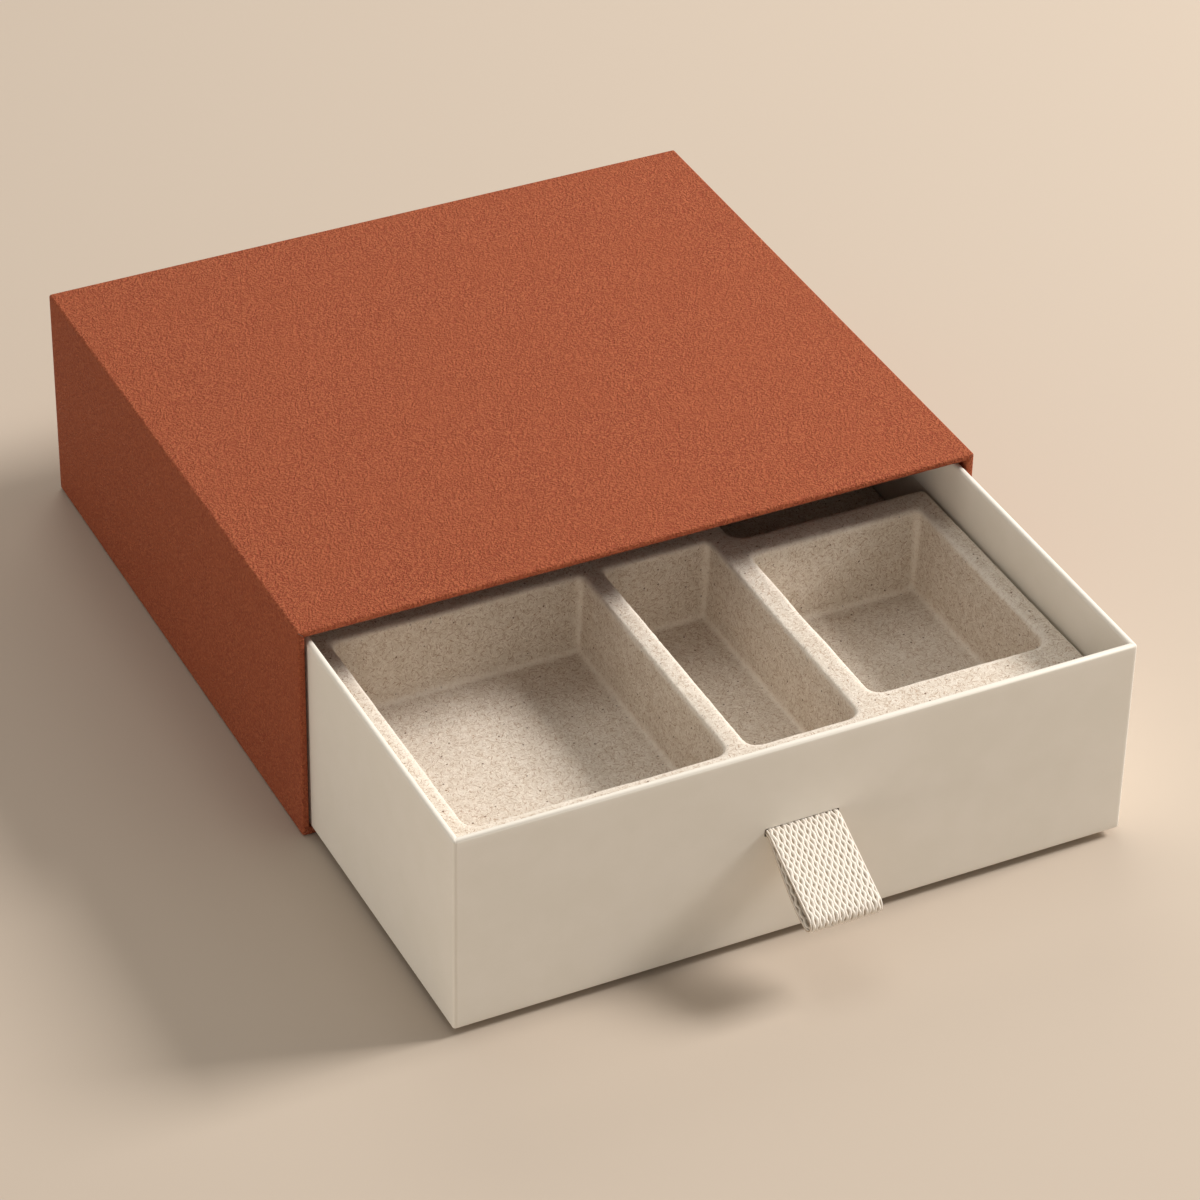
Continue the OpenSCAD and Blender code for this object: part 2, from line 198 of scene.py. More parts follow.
def show(name: str, mesh: bpy.types.Mesh, smooth_deg: float | None = None) -> Piece:
    """Puts a mesh in the scene.

    Args:
        name: The piece's name.
        mesh: Its mesh.
        smooth_deg: Edges that turn by less than this are shaded smooth.

    Returns:
        The object, at the origin.
    """
    piece = bpy.data.objects.new(name, mesh)
    bpy.context.scene.collection.objects.link(piece)
    if smooth_deg is not None:
        shade(piece, smooth_deg)
    return piece


def shade(piece: Piece, smooth_deg: float) -> None:
    """Shades a piece smooth, apart from edges that turn by more than smooth_deg."""
    piece.data.shade_smooth()
    piece.data.set_sharp_from_angle(angle=math.radians(smooth_deg))


def bake_modifiers(piece: Piece) -> None:
    """Turns what a piece's modifiers make into its own plain mesh.

    Args:
        piece: The object to bake.
    """
    depsgraph = bpy.context.evaluated_depsgraph_get()
    mesh = bpy.data.meshes.new_from_object(piece.evaluated_get(depsgraph))
    piece.modifiers.clear()
    piece.data = mesh


def cad_copy(node: str) -> bmesh.types.BMesh:
    """Copies a CAD node's mesh, with its doubled points merged.

    Args:
        node: The node's name.

    Returns:
        The copy.
    """
    shape = bmesh.new()
    shape.from_mesh(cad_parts[node].data)
    bmesh.ops.remove_doubles(shape, verts=shape.verts, dist=MERGE_MM * MM)
    return shape


def settle(piece: Piece, body: Body, node: str) -> None:
    """Puts a finished piece on its body and hides the CAD node that it stands for.

    Args:
        piece: The finished piece, at its place in the frame.
        body: The body that it rides on.
        node: The CAD node that it replaces.
    """
    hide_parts(node)
    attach(piece, body.value)
    LOG.info("%s: %d faces, on %s", piece.name, len(piece.data.polygons), body.value)


def dress_cad_node(node: str, finish: "Finish") -> None:
    """Gives a CAD node that stays in view its material.

    Args:
        node: The node's name.
        finish: What it is made of.
    """
    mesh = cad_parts[node].data
    mesh.materials.clear()
    mesh.materials.append(finish.material())
    LOG.info("%s: CAD mesh, %s", node, finish.name)


def round_rectangle(
    low: Sequence[float], high: Sequence[float], radius: float, steps: int
) -> Outline:
    """Draws a rectangle with rounded corners, anticlockwise from its low corner.

    Args:
        low: Lowest u and v.
        high: Highest u and v.
        radius: Corner radius.
        steps: Steps on each corner.

    Returns:
        The outline's points, (steps + 1) for each corner.
    """
    points = []
    for corner in range(4):
        cu = low[0] + radius if corner in (0, 3) else high[0] - radius
        cv = low[1] + radius if corner < 2 else high[1] - radius
        for step in range(steps + 1):
            a = math.radians(180 + 90 * corner + 90 * step / steps)
            points.append((cu + radius * math.cos(a), cv + radius * math.sin(a)))
    return points


def round_off(radius: float) -> Outline:
    """Steps of a rounded edge, as how far it still is from each of its two faces."""
    turns = [math.pi / 2 * k / FOLD_STEPS for k in range(FOLD_STEPS + 1)]
    return [(radius * (1 - math.sin(a)), radius * (1 - math.cos(a))) for a in turns]


def skin(rings: Sequence[Ring], cap_first: bool, cap_last: bool) -> list[list[int]]:
    """Joins closed rings of equal count with faces.

    Args:
        rings: The rings, each anticlockwise as seen from the way that they progress.
        cap_first: Closes the first ring with a face.
        cap_last: Closes the last ring with a face.

    Returns:
        The faces, as numbers into the rings' points one after another.
    """
    n = len(rings[0])
    faces = [
        [k * n + i, k * n + (i + 1) % n, (k + 1) * n + (i + 1) % n, (k + 1) * n + i]
        for k in range(len(rings) - 1)
        for i in range(n)
    ]
    if cap_first:
        faces.append(list(range(n - 1, -1, -1)))
    if cap_last:
        faces.append([(len(rings) - 1) * n + i for i in range(n)])
    return faces


def prism(
    name: str, outline: Outline, span: tuple[float, float], turn: Turn, finish: "Finish"
) -> Piece:
    """Makes a solid of one outline, drawn along a span.

    Args:
        name: The piece's name.
        outline: The outline, anticlockwise in (u, v).
        span: First and last w.
        turn: How the piece is laid.
        finish: What it is made of.

    Returns:
        The object.
    """
    rings = [[place(turn, u, v, w) for u, v in outline] for w in span]
    points = [p for ring in rings for p in ring]
    return make_piece(name, points, skin(rings, True, True), finish)


def join_pieces(name: str, pieces: Sequence[Piece]) -> Piece:
    """Joins objects that sit at the origin into the first one, under a new name.

    Args:
        name: The new name.
        pieces: The objects.

    Returns:
        The first object.
    """
    shape = bmesh.new()
    for piece in pieces:
        shape.from_mesh(piece.data)
    target = pieces[0]
    shape.to_mesh(target.data)
    shape.free()
    for piece in pieces[1:]:
        bpy.data.objects.remove(piece)
    target.name = target.data.name = name
    return target


# ---------------------------------------------------------------- finishes


@dataclass(frozen=True, kw_only=True)
class Finish:
    """What a piece is made of, and how its surface was made."""

    name: str
    roughness: float
    specular: float
    relief_mm: float
    strength: float

    def pattern(self, add: AddNode, solid: Socket) -> tuple[dict[str, Socket], Socket]:
        """Draws the surface.

        Args:
            add: Adds a node to the material's tree.
            solid: Object coordinates.

        Returns:
            What feeds the shader, by the names of its inputs, and the relief's height.
        """
        raise NotImplementedError

    def constants(self) -> dict[str, float]:
        """Returns the shader's inputs that are the same all over the surface."""
        return {"Roughness": self.roughness, "Specular IOR Level": self.specular}

    def material(self) -> bpy.types.Material:
        """Returns the finish as a material, made once."""
        found = bpy.data.materials.get(self.name)
        if found:
            return found
        material = bpy.data.materials.new(self.name)
        material.use_nodes = True
        tree = material.node_tree
        add = partial(add_node, tree)
        fed, height = self.pattern(add, add("ShaderNodeTexCoord")["Object"])
        relief = {"Strength": self.strength, "Distance": self.relief_mm * MM}
        fed["Normal"] = add("ShaderNodeBump", {**relief, "Height": height})[0]
        shader = tree.nodes["Principled BSDF"]
        for name, value in self.constants().items():
            shader.inputs[name].default_value = value
        for name, output in fed.items():
            tree.links.new(output, shader.inputs[name])
        return material


@dataclass(frozen=True, kw_only=True)
class EmbossedPaper(Finish):
    """Dyed cover paper, embossed between rollers with a fine crepe grain.

    Close up it shows short wrinkles that run every way, about as wide as a pencil line.
    Light from the side draws them; the dye itself is almost even, with faint clouds.
    The creases of the wrinkles are painted darker, a painted shade.
    """

    name: str = "terracotta_embossed_cover_paper"
    lump: str = "#AE6345"
    crease_shade: str = "#944B36"
    cloud_tone: str = "#A4593D"
    wrinkle_mm: float = 2.0
    wrinkle_bend: float = 1.0
    wrinkle_width: float = 0.16
    wrinkle_share: float = 0.35
    grain_mm: float = 0.8
    cloud_mm: float = 24.0
    cloud_share: float = 0.3
    roughness: float = 0.68
    specular: float = 0.05
    relief_mm: float = 0.42
    strength: float = 1.0

    def pattern(self, add: AddNode, solid: Socket) -> tuple[dict[str, Socket], Socket]:
        """Draws wrinkles on a fine grain, darker in their creases, under faint clouds.

        Args:
            add: Adds a node to the material's tree.
            solid: Object coordinates.

        Returns:
            The shader's inputs and the relief's height, as in Finish.
        """
        plain = {"Vector": solid, "Detail": 0.0, "Distortion": self.wrinkle_bend}
        folds = add(NOISE, {**plain, "Scale": per_metre(self.wrinkle_mm)})["Fac"]
        grain = add(NOISE, {**plain, "Scale": per_metre(self.grain_mm)})["Fac"]
        # wrinkles run where the noise crosses its middle, so they wander and branch
        off = add(MATH, folds, 0.5, operation="SUBTRACT")[0]
        off = add(MATH, off, operation="ABSOLUTE")[0]
        share = self.wrinkle_share
        wrinkles = add(RANGE, off, 0.0, self.wrinkle_width, 0.0, share, **SMOOTH)[0]
        lumps = add(RANGE, grain, 0.25, 0.75, 0.0, 1 - share, **SMOOTH)[0]
        height = add(MATH, wrinkles, lumps, operation="ADD")[0]
        scale = per_metre(self.cloud_mm)
        cloud = add(NOISE, {"Vector": solid, "Scale": scale, "Detail": 4.0})["Fac"]
        cloudy = add(RANGE, cloud, 0.35, 0.65, 0.0, self.cloud_share, **SMOOTH)[0]
        # painted shade: the creases take the darker crease colour, the raised grain the
        # lump colour
        raised = add(RANGE, height, 0.1, 0.9, **SMOOTH)[0]
        dyed = {0: raised, 6: linear(self.crease_shade), 7: linear(self.lump)}
        tone = add(MIX, dyed, **COLOUR)[2]
        tone = add(MIX, {0: cloudy, 6: tone, 7: linear(self.cloud_tone)}, **COLOUR)[2]
        return {"Base Color": tone}, height


@dataclass(frozen=True, kw_only=True)
class SmoothPaper(Finish):
    """Uncoated wove paper, pressed smooth in the mill.

    The eye sees an almost even tone with very faint clouds where the fibres lie thicker,
    and a soft satin light along the folds.
    """

    name: str = "offwhite_wove_paper"
    colour: str = "#F0EBE2"
    cloud: str = "#EDE8DE"
    fibre_mm: float = 0.5
    cloud_mm: float = 14.0
    roughness: float = 0.5
    rougher: float = 0.1
    specular: float = 0.5
    relief_mm: float = 0.02
    strength: float = 0.5

    def pattern(self, add: AddNode, solid: Socket) -> tuple[dict[str, Socket], Socket]:
        """Draws fine fibres and faint clouds, which are also a little rougher.

        Args:
            add: Adds a node to the material's tree.
            solid: Object coordinates.

        Returns:
            The shader's inputs and the relief's height, as in Finish.
        """
        matted = {"Vector": solid, "Scale": per_metre(self.fibre_mm), "Detail": 3.0}
        fibre = add(NOISE, {**matted, "Distortion": 0.6})["Fac"]
        scale = per_metre(self.cloud_mm)
        cloud = add(NOISE, {"Vector": solid, "Scale": scale, "Detail": 4.0})["Fac"]
        both = add(MATH, fibre, 0.25, cloud, operation="MULTIPLY_ADD")[0]
        share = add(RANGE, both, 0.4, 0.85, **SMOOTH)[0]
        tone = {0: share, 6: linear(self.colour), 7: linear(self.cloud)}
        most = self.roughness + self.rougher
        rough = add(RANGE, both, 0.4, 0.85, self.roughness, most, **SMOOTH)[0]
        return {"Base Color": add(MIX, tone, **COLOUR)[2], "Roughness": rough}, fibre


@dataclass(frozen=True, kw_only=True)
class MouldedPulp(Finish):
    """Recycled paper pulp, drained on a mould and pressed while wet.

    It has a dry, dull face of matted fibres: short darker and paler fibres lie in every
    direction, a few dark specks are caught in it, and the tone is softly mottled. The
    press and the mould's wire leave its edges and creases smooth, and these are painted
    paler, a painted highlight.
    """

    name: str = "moulded_fibre_pulp"
    colour: str = "#E6DED3"
    damp: str = "#D8CDBF"
    dark_fibre: str = "#94683F"
    pale_fibre: str = "#F8F1E6"
    speck: str = "#5A3A22"
    mottle_mm: float = 3.4
    matted_mm: float = 0.62
    matted_share: float = 0.12
    curl_mm: float = 1.3
    curl_bend: float = 1.8
    curl_width: float = 0.065
    cell_mm: float = 1.9
    fibre_mm: float = 2.2
    fibre_width_mm: float = 0.2
    fibre_share: float = 0.5
    speck_cell_mm: float = 5.2
    speck_share: float = 0.85
    edge_highlight_share: float = 0.5
    roughness: float = 0.9
    specular: float = 0.25
    relief_mm: float = 0.14
    strength: float = 0.7

    def fibres(self, add: AddNode, flat: Socket, seed: int) -> Socket:
        """Draws one bent fibre in each cell of a scattered grid.

        Args:
            add: Adds a node to the material's tree.
            flat: The surface's own flat coordinates, in metres.
            seed: Which layer of fibres this is. It moves and scales the grid.

        Returns:
            1 on a fibre and 0 beside it.
        """
        shift = (0.31 * seed + 0.07, 0.17 * seed, 0.0)
        moved = add("ShaderNodeMapping", {"Vector": flat, "Location": shift})[0]
        cell_mm = self.cell_mm * (1 + 0.17 * (seed % 3))
        grid = {"Vector": moved, "Scale": per_metre(cell_mm)}
        cell = add("ShaderNodeTexVoronoi", grid, voronoi_dimensions="2D")
        turn, bow, reach = add("ShaderNodeSeparateColor", cell["Color"])
        local = add(VECTOR_MATH, moved, cell["Position"], operation="SUBTRACT")[0]
        angle = add(MATH, turn, math.tau, operation="MULTIPLY")[0]
        turned = {"Vector": local, "Angle": angle}
        turned = add("ShaderNodeVectorRotate", turned, rotation_type="Z_AXIS")[0]
        along, across, _ = add(SPLIT, turned)
        # a fibre bends as its square: half its length off the line at twice its length
        bend = add(MATH, bow, 0.5, operation="SUBTRACT")[0]
        bend = add(MATH, bend, 2.0 / (self.fibre_mm * MM), operation="MULTIPLY")[0]
        square = add(MATH, along, along, operation="MULTIPLY")[0]
        off = add(MATH, square, bend, across, operation="MULTIPLY_ADD")[0]
        off = add(MATH, off, operation="ABSOLUTE")[0]
        half = self.fibre_width_mm * MM
        width = add(RANGE, off, half * 0.35, half, 1.0, 0.0, **SMOOTH)[0]
        spread = self.fibre_mm * MM * 0.4
        reach = add(MATH, reach, spread, 0.25 * MM, operation="MULTIPLY_ADD")[0]
        past = add(MATH, along, operation="ABSOLUTE")[0]
        past = add(MATH, past, reach, operation="SUBTRACT")[0]
        length = add(RANGE, past, -0.1 * MM, 0.1 * MM, 1.0, 0.0, **SMOOTH)[0]
        return add(MATH, width, length, operation="MULTIPLY")[0]

    def curls(self, add: AddNode, value: Socket, gaps: Socket) -> Socket:
        """Draws long curled fibres along the middle line of a noise.

        Args:
            add: Adds a node to the material's tree.
            value: The noise that they follow.
            gaps: The noise that breaks them up.

        Returns:
            1 on a fibre and 0 beside it.
        """
        off = add(MATH, value, 0.5, operation="SUBTRACT")[0]
        off = add(MATH, off, operation="ABSOLUTE")[0]
        width = self.curl_width
        line = add(RANGE, off, width * 0.3, width, 1.0, 0.0, **SMOOTH)[0]
        kept = add(RANGE, gaps, 0.46, 0.56, **SMOOTH)[0]
        return add(MATH, line, kept, operation="MULTIPLY")[0]

    def specks(self, add: AddNode, flat: Socket) -> Socket:
        """Draws a small dark speck in a few cells.

        Args:
            add: Adds a node to the material's tree.
            flat: The surface's own flat coordinates, in metres.

        Returns:
            1 in a speck and 0 outside.
        """
        grid = {"Vector": flat, "Scale": per_metre(self.speck_cell_mm)}
        cell = add("ShaderNodeTexVoronoi", grid, voronoi_dimensions="2D")
        chance = add("ShaderNodeSeparateColor", cell["Color"])[0]
        radius = add(RANGE, chance, 0.45, 1.0, 0.0, 0.075, **SMOOTH)[0]
        inside = add(MATH, radius, cell["Distance"], operation="SUBTRACT")[0]
        return add(RANGE, inside, 0.0, 0.02, **SMOOTH)[0]

    def pattern(self, add: AddNode, solid: Socket) -> tuple[dict[str, Socket], Socket]:
        """Draws matted fibres on a mottled ground, with long and short ones on top.

        Args:
            add: Adds a node to the material's tree.
            solid: Object coordinates.

        Returns:
            The shader's inputs and the relief's height, as in Finish.
        """
        flat = add("ShaderNodeUVMap", uv_map=Unwrap.LAYER)[0]
        scale = per_metre(self.mottle_mm)
        mottle = {"Vector": solid, "Scale": scale, "Detail": 5.0, "Roughness": 0.62}
        mottle = add(NOISE, mottle)["Fac"]
        scale = per_metre(self.matted_mm)
        matted = {"Vector": solid, "Scale": scale, "Detail": 3.0, "Roughness": 0.6}
        matted = add(NOISE, {**matted, "Distortion": 1.4})["Fac"]
        curled = {"Vector": solid, "Scale": per_metre(self.curl_mm), "Detail": 1.0}
        curled = add(NOISE, {**curled, "Distortion": self.curl_bend})["Color"]
        red, green, blue = add("ShaderNodeSeparateColor", curled)
        dry = add(RANGE, mottle, 0.3, 0.72, **SMOOTH)[0]
        tone = {0: dry, 6: linear(self.damp), 7: linear(self.colour)}
        tone = add(MIX, tone, **COLOUR)[2]
        hollows = add(RANGE, matted, 0.55, 0.3, 0.0, self.matted_share, **SMOOTH)[0]
        dark = [self.fibres(add, flat, 1), self.curls(add, red, blue)]
        pale = [self.fibres(add, flat, 3), self.curls(add, green, red)]
        # painted highlight: the mesh's edges and creases are mixed toward the pale fibre
        # tone
        highlit = add("ShaderNodeAttribute", attribute_name=PulpInsert.WEAR)["Fac"]
        layers = [(hollows, 1.0, self.dark_fibre)]
        layers += [(fibre, self.fibre_share, self.pale_fibre) for fibre in pale]
        layers += [(fibre, self.fibre_share, self.dark_fibre) for fibre in dark]
        layers += [(self.specks(add, flat), self.speck_share, self.speck)]
        layers += [(highlit, self.edge_highlight_share, self.pale_fibre)]
        for mask, share, colour in layers:
            shown = add(MATH, mask, share, operation="MULTIPLY")[0]
            tone = add(MIX, {0: shown, 6: tone, 7: linear(colour)}, **COLOUR)[2]
        raised = add(MATH, pale[1], dark[0], operation="ADD")[0]
        raised = add(MATH, pale[0], raised, operation="ADD")[0]
        height = add(MATH, raised, 0.35, matted, operation="MULTIPLY_ADD")[0]
        height = add(MATH, mottle, 1.2, height, operation="MULTIPLY_ADD")[0]
        return {"Base Color": tone}, height


@dataclass(frozen=True, kw_only=True)
class CottonYarn(Finish):
    """Soft spun cotton yarn, woven tight on a narrow loom.

    Each strand is a bundle of twisted threads, pale on top and painted darker where it
    dives between its neighbours, a painted shade. It has no gloss, only a faint bloom of
    loose fibre.
    """

    name: str = "cream_cotton_webbing"
    colour: str = "#F7F0E6"
    hollow_shade: str = "#9C8160"
    strand_mm: float = 0.36
    bloom_mm: float = 0.9
    bloom_sheen: float = 0.12
    roughness: float = 0.85
    specular: float = 0.3
    relief_mm: float = 0.09
    strength: float = 0.5

    def constants(self) -> dict[str, float]:
        """Returns the shader's even inputs, with the sheen of loose fibre."""
        sheen = {"Sheen Weight": self.bloom_sheen, "Sheen Roughness": 0.5}
        return {**super().constants(), **sheen}

    def pattern(self, add: AddNode, solid: Socket) -> tuple[dict[str, Socket], Socket]:
        """Draws threads along the strands, darker where a strand lies deep.

        Args:
            add: Adds a node to the material's tree.
            solid: Object coordinates.

        Returns:
            The shader's inputs and the relief's height, as in Finish.
        """
        place_on = WeaveAttribute.PLACE.value
        woven = add("ShaderNodeAttribute", attribute_name=place_on)["Vector"]
        lift = add("ShaderNodeAttribute", attribute_name=WeaveAttribute.LIFT.value)["Fac"]
        # the threads' noise is drawn out five times along the weave
        drawn = add("ShaderNodeMapping", {"Vector": woven, "Scale": (1.0, 0.2, 1.0)})[0]
        scale = per_metre(self.strand_mm)
        threads = add(NOISE, {"Vector": drawn, "Scale": scale, "Detail": 2.0})["Fac"]
        scale = per_metre(self.bloom_mm)
        bloom = add(NOISE, {"Vector": woven, "Scale": scale, "Detail": 3.0})["Fac"]
        height = add(MATH, threads, 0.35, lift, operation="MULTIPLY_ADD")[0]
        height = add(MATH, bloom, 0.15, height, operation="MULTIPLY_ADD")[0]
        # painted shade: a strand's deep sides and the ground between strands take the
        # darker hollow tone
        share = add(RANGE, height, 0.2, 0.8, **SMOOTH)[0]
        tone = {0: share, 6: linear(self.hollow_shade), 7: linear(self.colour)}
        return {"Base Color": add(MIX, tone, **COLOUR)[2]}, threads


@dataclass(frozen=True, kw_only=True)
class Stock(Finish):
    """Board or paper stock of matted fibre, cut from a sheet.

    It is dull all over, with fine flecks of darker fibre in an even ground. The same
    recipe makes greyboard, gummed tape and plain lining paper in their own tones.
    """

    colour: str
    fleck: str
    fleck_mm: float
    fleck_share: float = 0.5
    roughness: float = 0.8
    specular: float = 0.3
    relief_mm: float = 0.05
    strength: float = 0.5

    def pattern(self, add: AddNode, solid: Socket) -> tuple[dict[str, Socket], Socket]:
        """Draws fine flecks, gathered in faint clouds.

        Args:
            add: Adds a node to the material's tree.
            solid: Object coordinates.

        Returns:
            The shader's inputs and the relief's height, as in Finish.
        """
        flecks = {"Vector": solid, "Scale": per_metre(self.fleck_mm), "Detail": 4.0}
        fibre = add(NOISE, {**flecks, "Roughness": 0.65, "Distortion": 1.2})["Fac"]
        scale = per_metre(self.fleck_mm * 12)
        cloud = add(NOISE, {"Vector": solid, "Scale": scale, "Detail": 3.0})["Fac"]
        both = add(MATH, cloud, 0.6, fibre, operation="MULTIPLY_ADD")[0]
        share = add(RANGE, both, 0.98, 0.6, 0.0, self.fleck_share, **SMOOTH)[0]
        tone = {0: share, 6: linear(self.colour), 7: linear(self.fleck)}
        return {"Base Color": add(MIX, tone, **COLOUR)[2]}, fibre


COVER_PAPER = EmbossedPaper()
WHITE_PAPER = SmoothPaper()
PULP = MouldedPulp()
YARN = CottonYarn()
# Grey chipboard: pressed waste paper, so flecks of many tones in a warm grey
GREYBOARD = Stock(
    name="greyboard_pressed_waste_paper", colour="#A49E93", fleck="#7C766B", fleck_mm=0.9
)
# Gummed paper tape: thin kraft paper, almost even
TAPE = Stock(
    name="gummed_paper_tape", colour="#DCD2BF", fleck="#BDAE93", fleck_mm=0.5, roughness=0.6
)
# Dyed lining paper: smoother than the cover, and painted darker than its dye, a painted
# shade for the inside of the sleeve
SHADED_LINING = Stock(
    name="terracotta_lining_paper_shaded", colour="#5E2F21", fleck="#4D261B", fleck_mm=0.7
)
# Plain papers inside the drawer: a shade greyer than its cover
WHITE_LINING = Stock(
    name="offwhite_lining_paper", colour="#E3DCCF", fleck="#D3CABA", fleck_mm=0.8
)
PATCH = Stock(name="offwhite_patch_paper", colour="#DDD5C6", fleck="#C6BCA9", fleck_mm=0.7)


# ---------------------------------------------------------------- sleeve and drawer


def folded_strip(
    corner: tuple[float, float],
    inward: tuple[int, int],
    leg: float,
    radius: float,
    thickness: float,
) -> Outline:
    """Draws a thin strip folded round one corner.

    Args:
        corner: The outer corner that the strip would reach if it were sharp.
        inward: The signs of u and v that lead in from the corner.
        leg: How far the strip reaches along each side.
        radius: Outer radius of its fold.
        thickness: Thickness of the strip.

    Returns:
        The closed outline, anticlockwise.
    """
    (cu, cv), (iu, iv) = corner, inward

    def side(offset: float) -> Outline:
        """The strip's face that lies offset in from its outer face.

        Args:
            offset: How far in it lies.

        Returns:
            The face's points.
        """
        r = radius - offset
        turns = [math.pi / 2 * k / STRIP_STEPS for k in range(STRIP_STEPS + 1)]
        bend = [
            (cu + iu * (radius - r * math.sin(a)), cv + iv * (radius - r * math.cos(a)))
            for a in turns
        ]
        first = (cu + iu * leg, cv + iv * offset)
        return [first, *bend, (cu + iu * offset, cv + iv * leg)]

    outline = side(0) + side(thickness)[::-1]
    following = outline[1:] + outline[:1]
    area = sum(a[0] * b[1] - b[0] * a[1] for a, b in zip(outline, following))
    return outline if area > 0 else outline[::-1]


@dataclass
class PaperedBoards:
    """Greyboard walls under cover paper, with tape folded over their long edges."""

    body: Body
    sides: tuple[str, ...]
    board_radius: float
    board: float = 2.0
    paper: float = 0.2
    tape: float = 0.1
    tape_leg: float = 12.0
    edge_radius: float = 0.9
    # the least turn, in radians, of an edge that the press has softened
    sharp_turn: float = 0.5
    # how far the rings that hold a fold's shape stand off its bend
    hold: float = 4.0
    hold_long: float = 6.0

    @property
    def wall(self) -> float:
        """Thickness of a papered wall."""
        return self.board + 2 * self.paper

    def lay_boards(self) -> None:
        """Builds each board as its CAD node, with its pressed, softened edges."""
        for side in self.sides:
            node = f"{self.body.value}_{side}_board"
            shape = cad_copy(node)
            bmesh.ops.dissolve_limit(
                shape, angle_limit=math.radians(1), verts=shape.verts, edges=shape.edges
            )
            folded = [edge for edge in shape.edges if len(edge.link_faces) == 2]
            sharp = [edge for edge in folded if edge.calc_face_angle() > self.sharp_turn]
            radius = self.board_radius * MM
            bmesh.ops.bevel(
                shape, geom=sharp, offset=radius, segments=3, profile=0.5, affect="EDGES"
            )
            mesh = bpy.data.meshes.new(f"{node}_rounded")
            shape.to_mesh(mesh)
            shape.free()
            mesh.materials.append(GREYBOARD.material())
            board = show(f"{node}_rounded", mesh, 40)
            settle(board, self.body, node)

    def fold_tapes(
        self,
        name: str,
        node: str,
        corners: Iterable[tuple[float, float, int, int]],
        span: tuple[float, float],
        turn: Turn,
    ) -> None:
        """Builds the tapes that are folded over the boards' edges.

        Args:
            name: The piece's name.
            node: The CAD node that it stands for.
            corners: Each tape's corner, u and v, and the signs that lead in from it.
            span: First and last w.
            turn: How the tapes are laid.
        """
        radius = self.edge_radius - self.paper + self.tape
        strips = []
        for u, v, in_u, in_v in corners:
            outline = folded_strip(
                (u, v), (in_u, in_v), self.tape_leg, radius, self.tape - HAIR
            )
            strips.append(prism("tape", outline, span, turn, TAPE))
        settle(join_pieces(name, strips), self.body, node)

    def thicken(self, paper: Piece) -> None:
        """Gives a paper's outer face its thickness, inwards.

        Args:
            paper: The paper's outer face.
        """
        wall = paper.modifiers.new("thickness", "SOLIDIFY")
        wall.thickness = (self.paper - 2 * HAIR) * MM
        wall.offset = -1


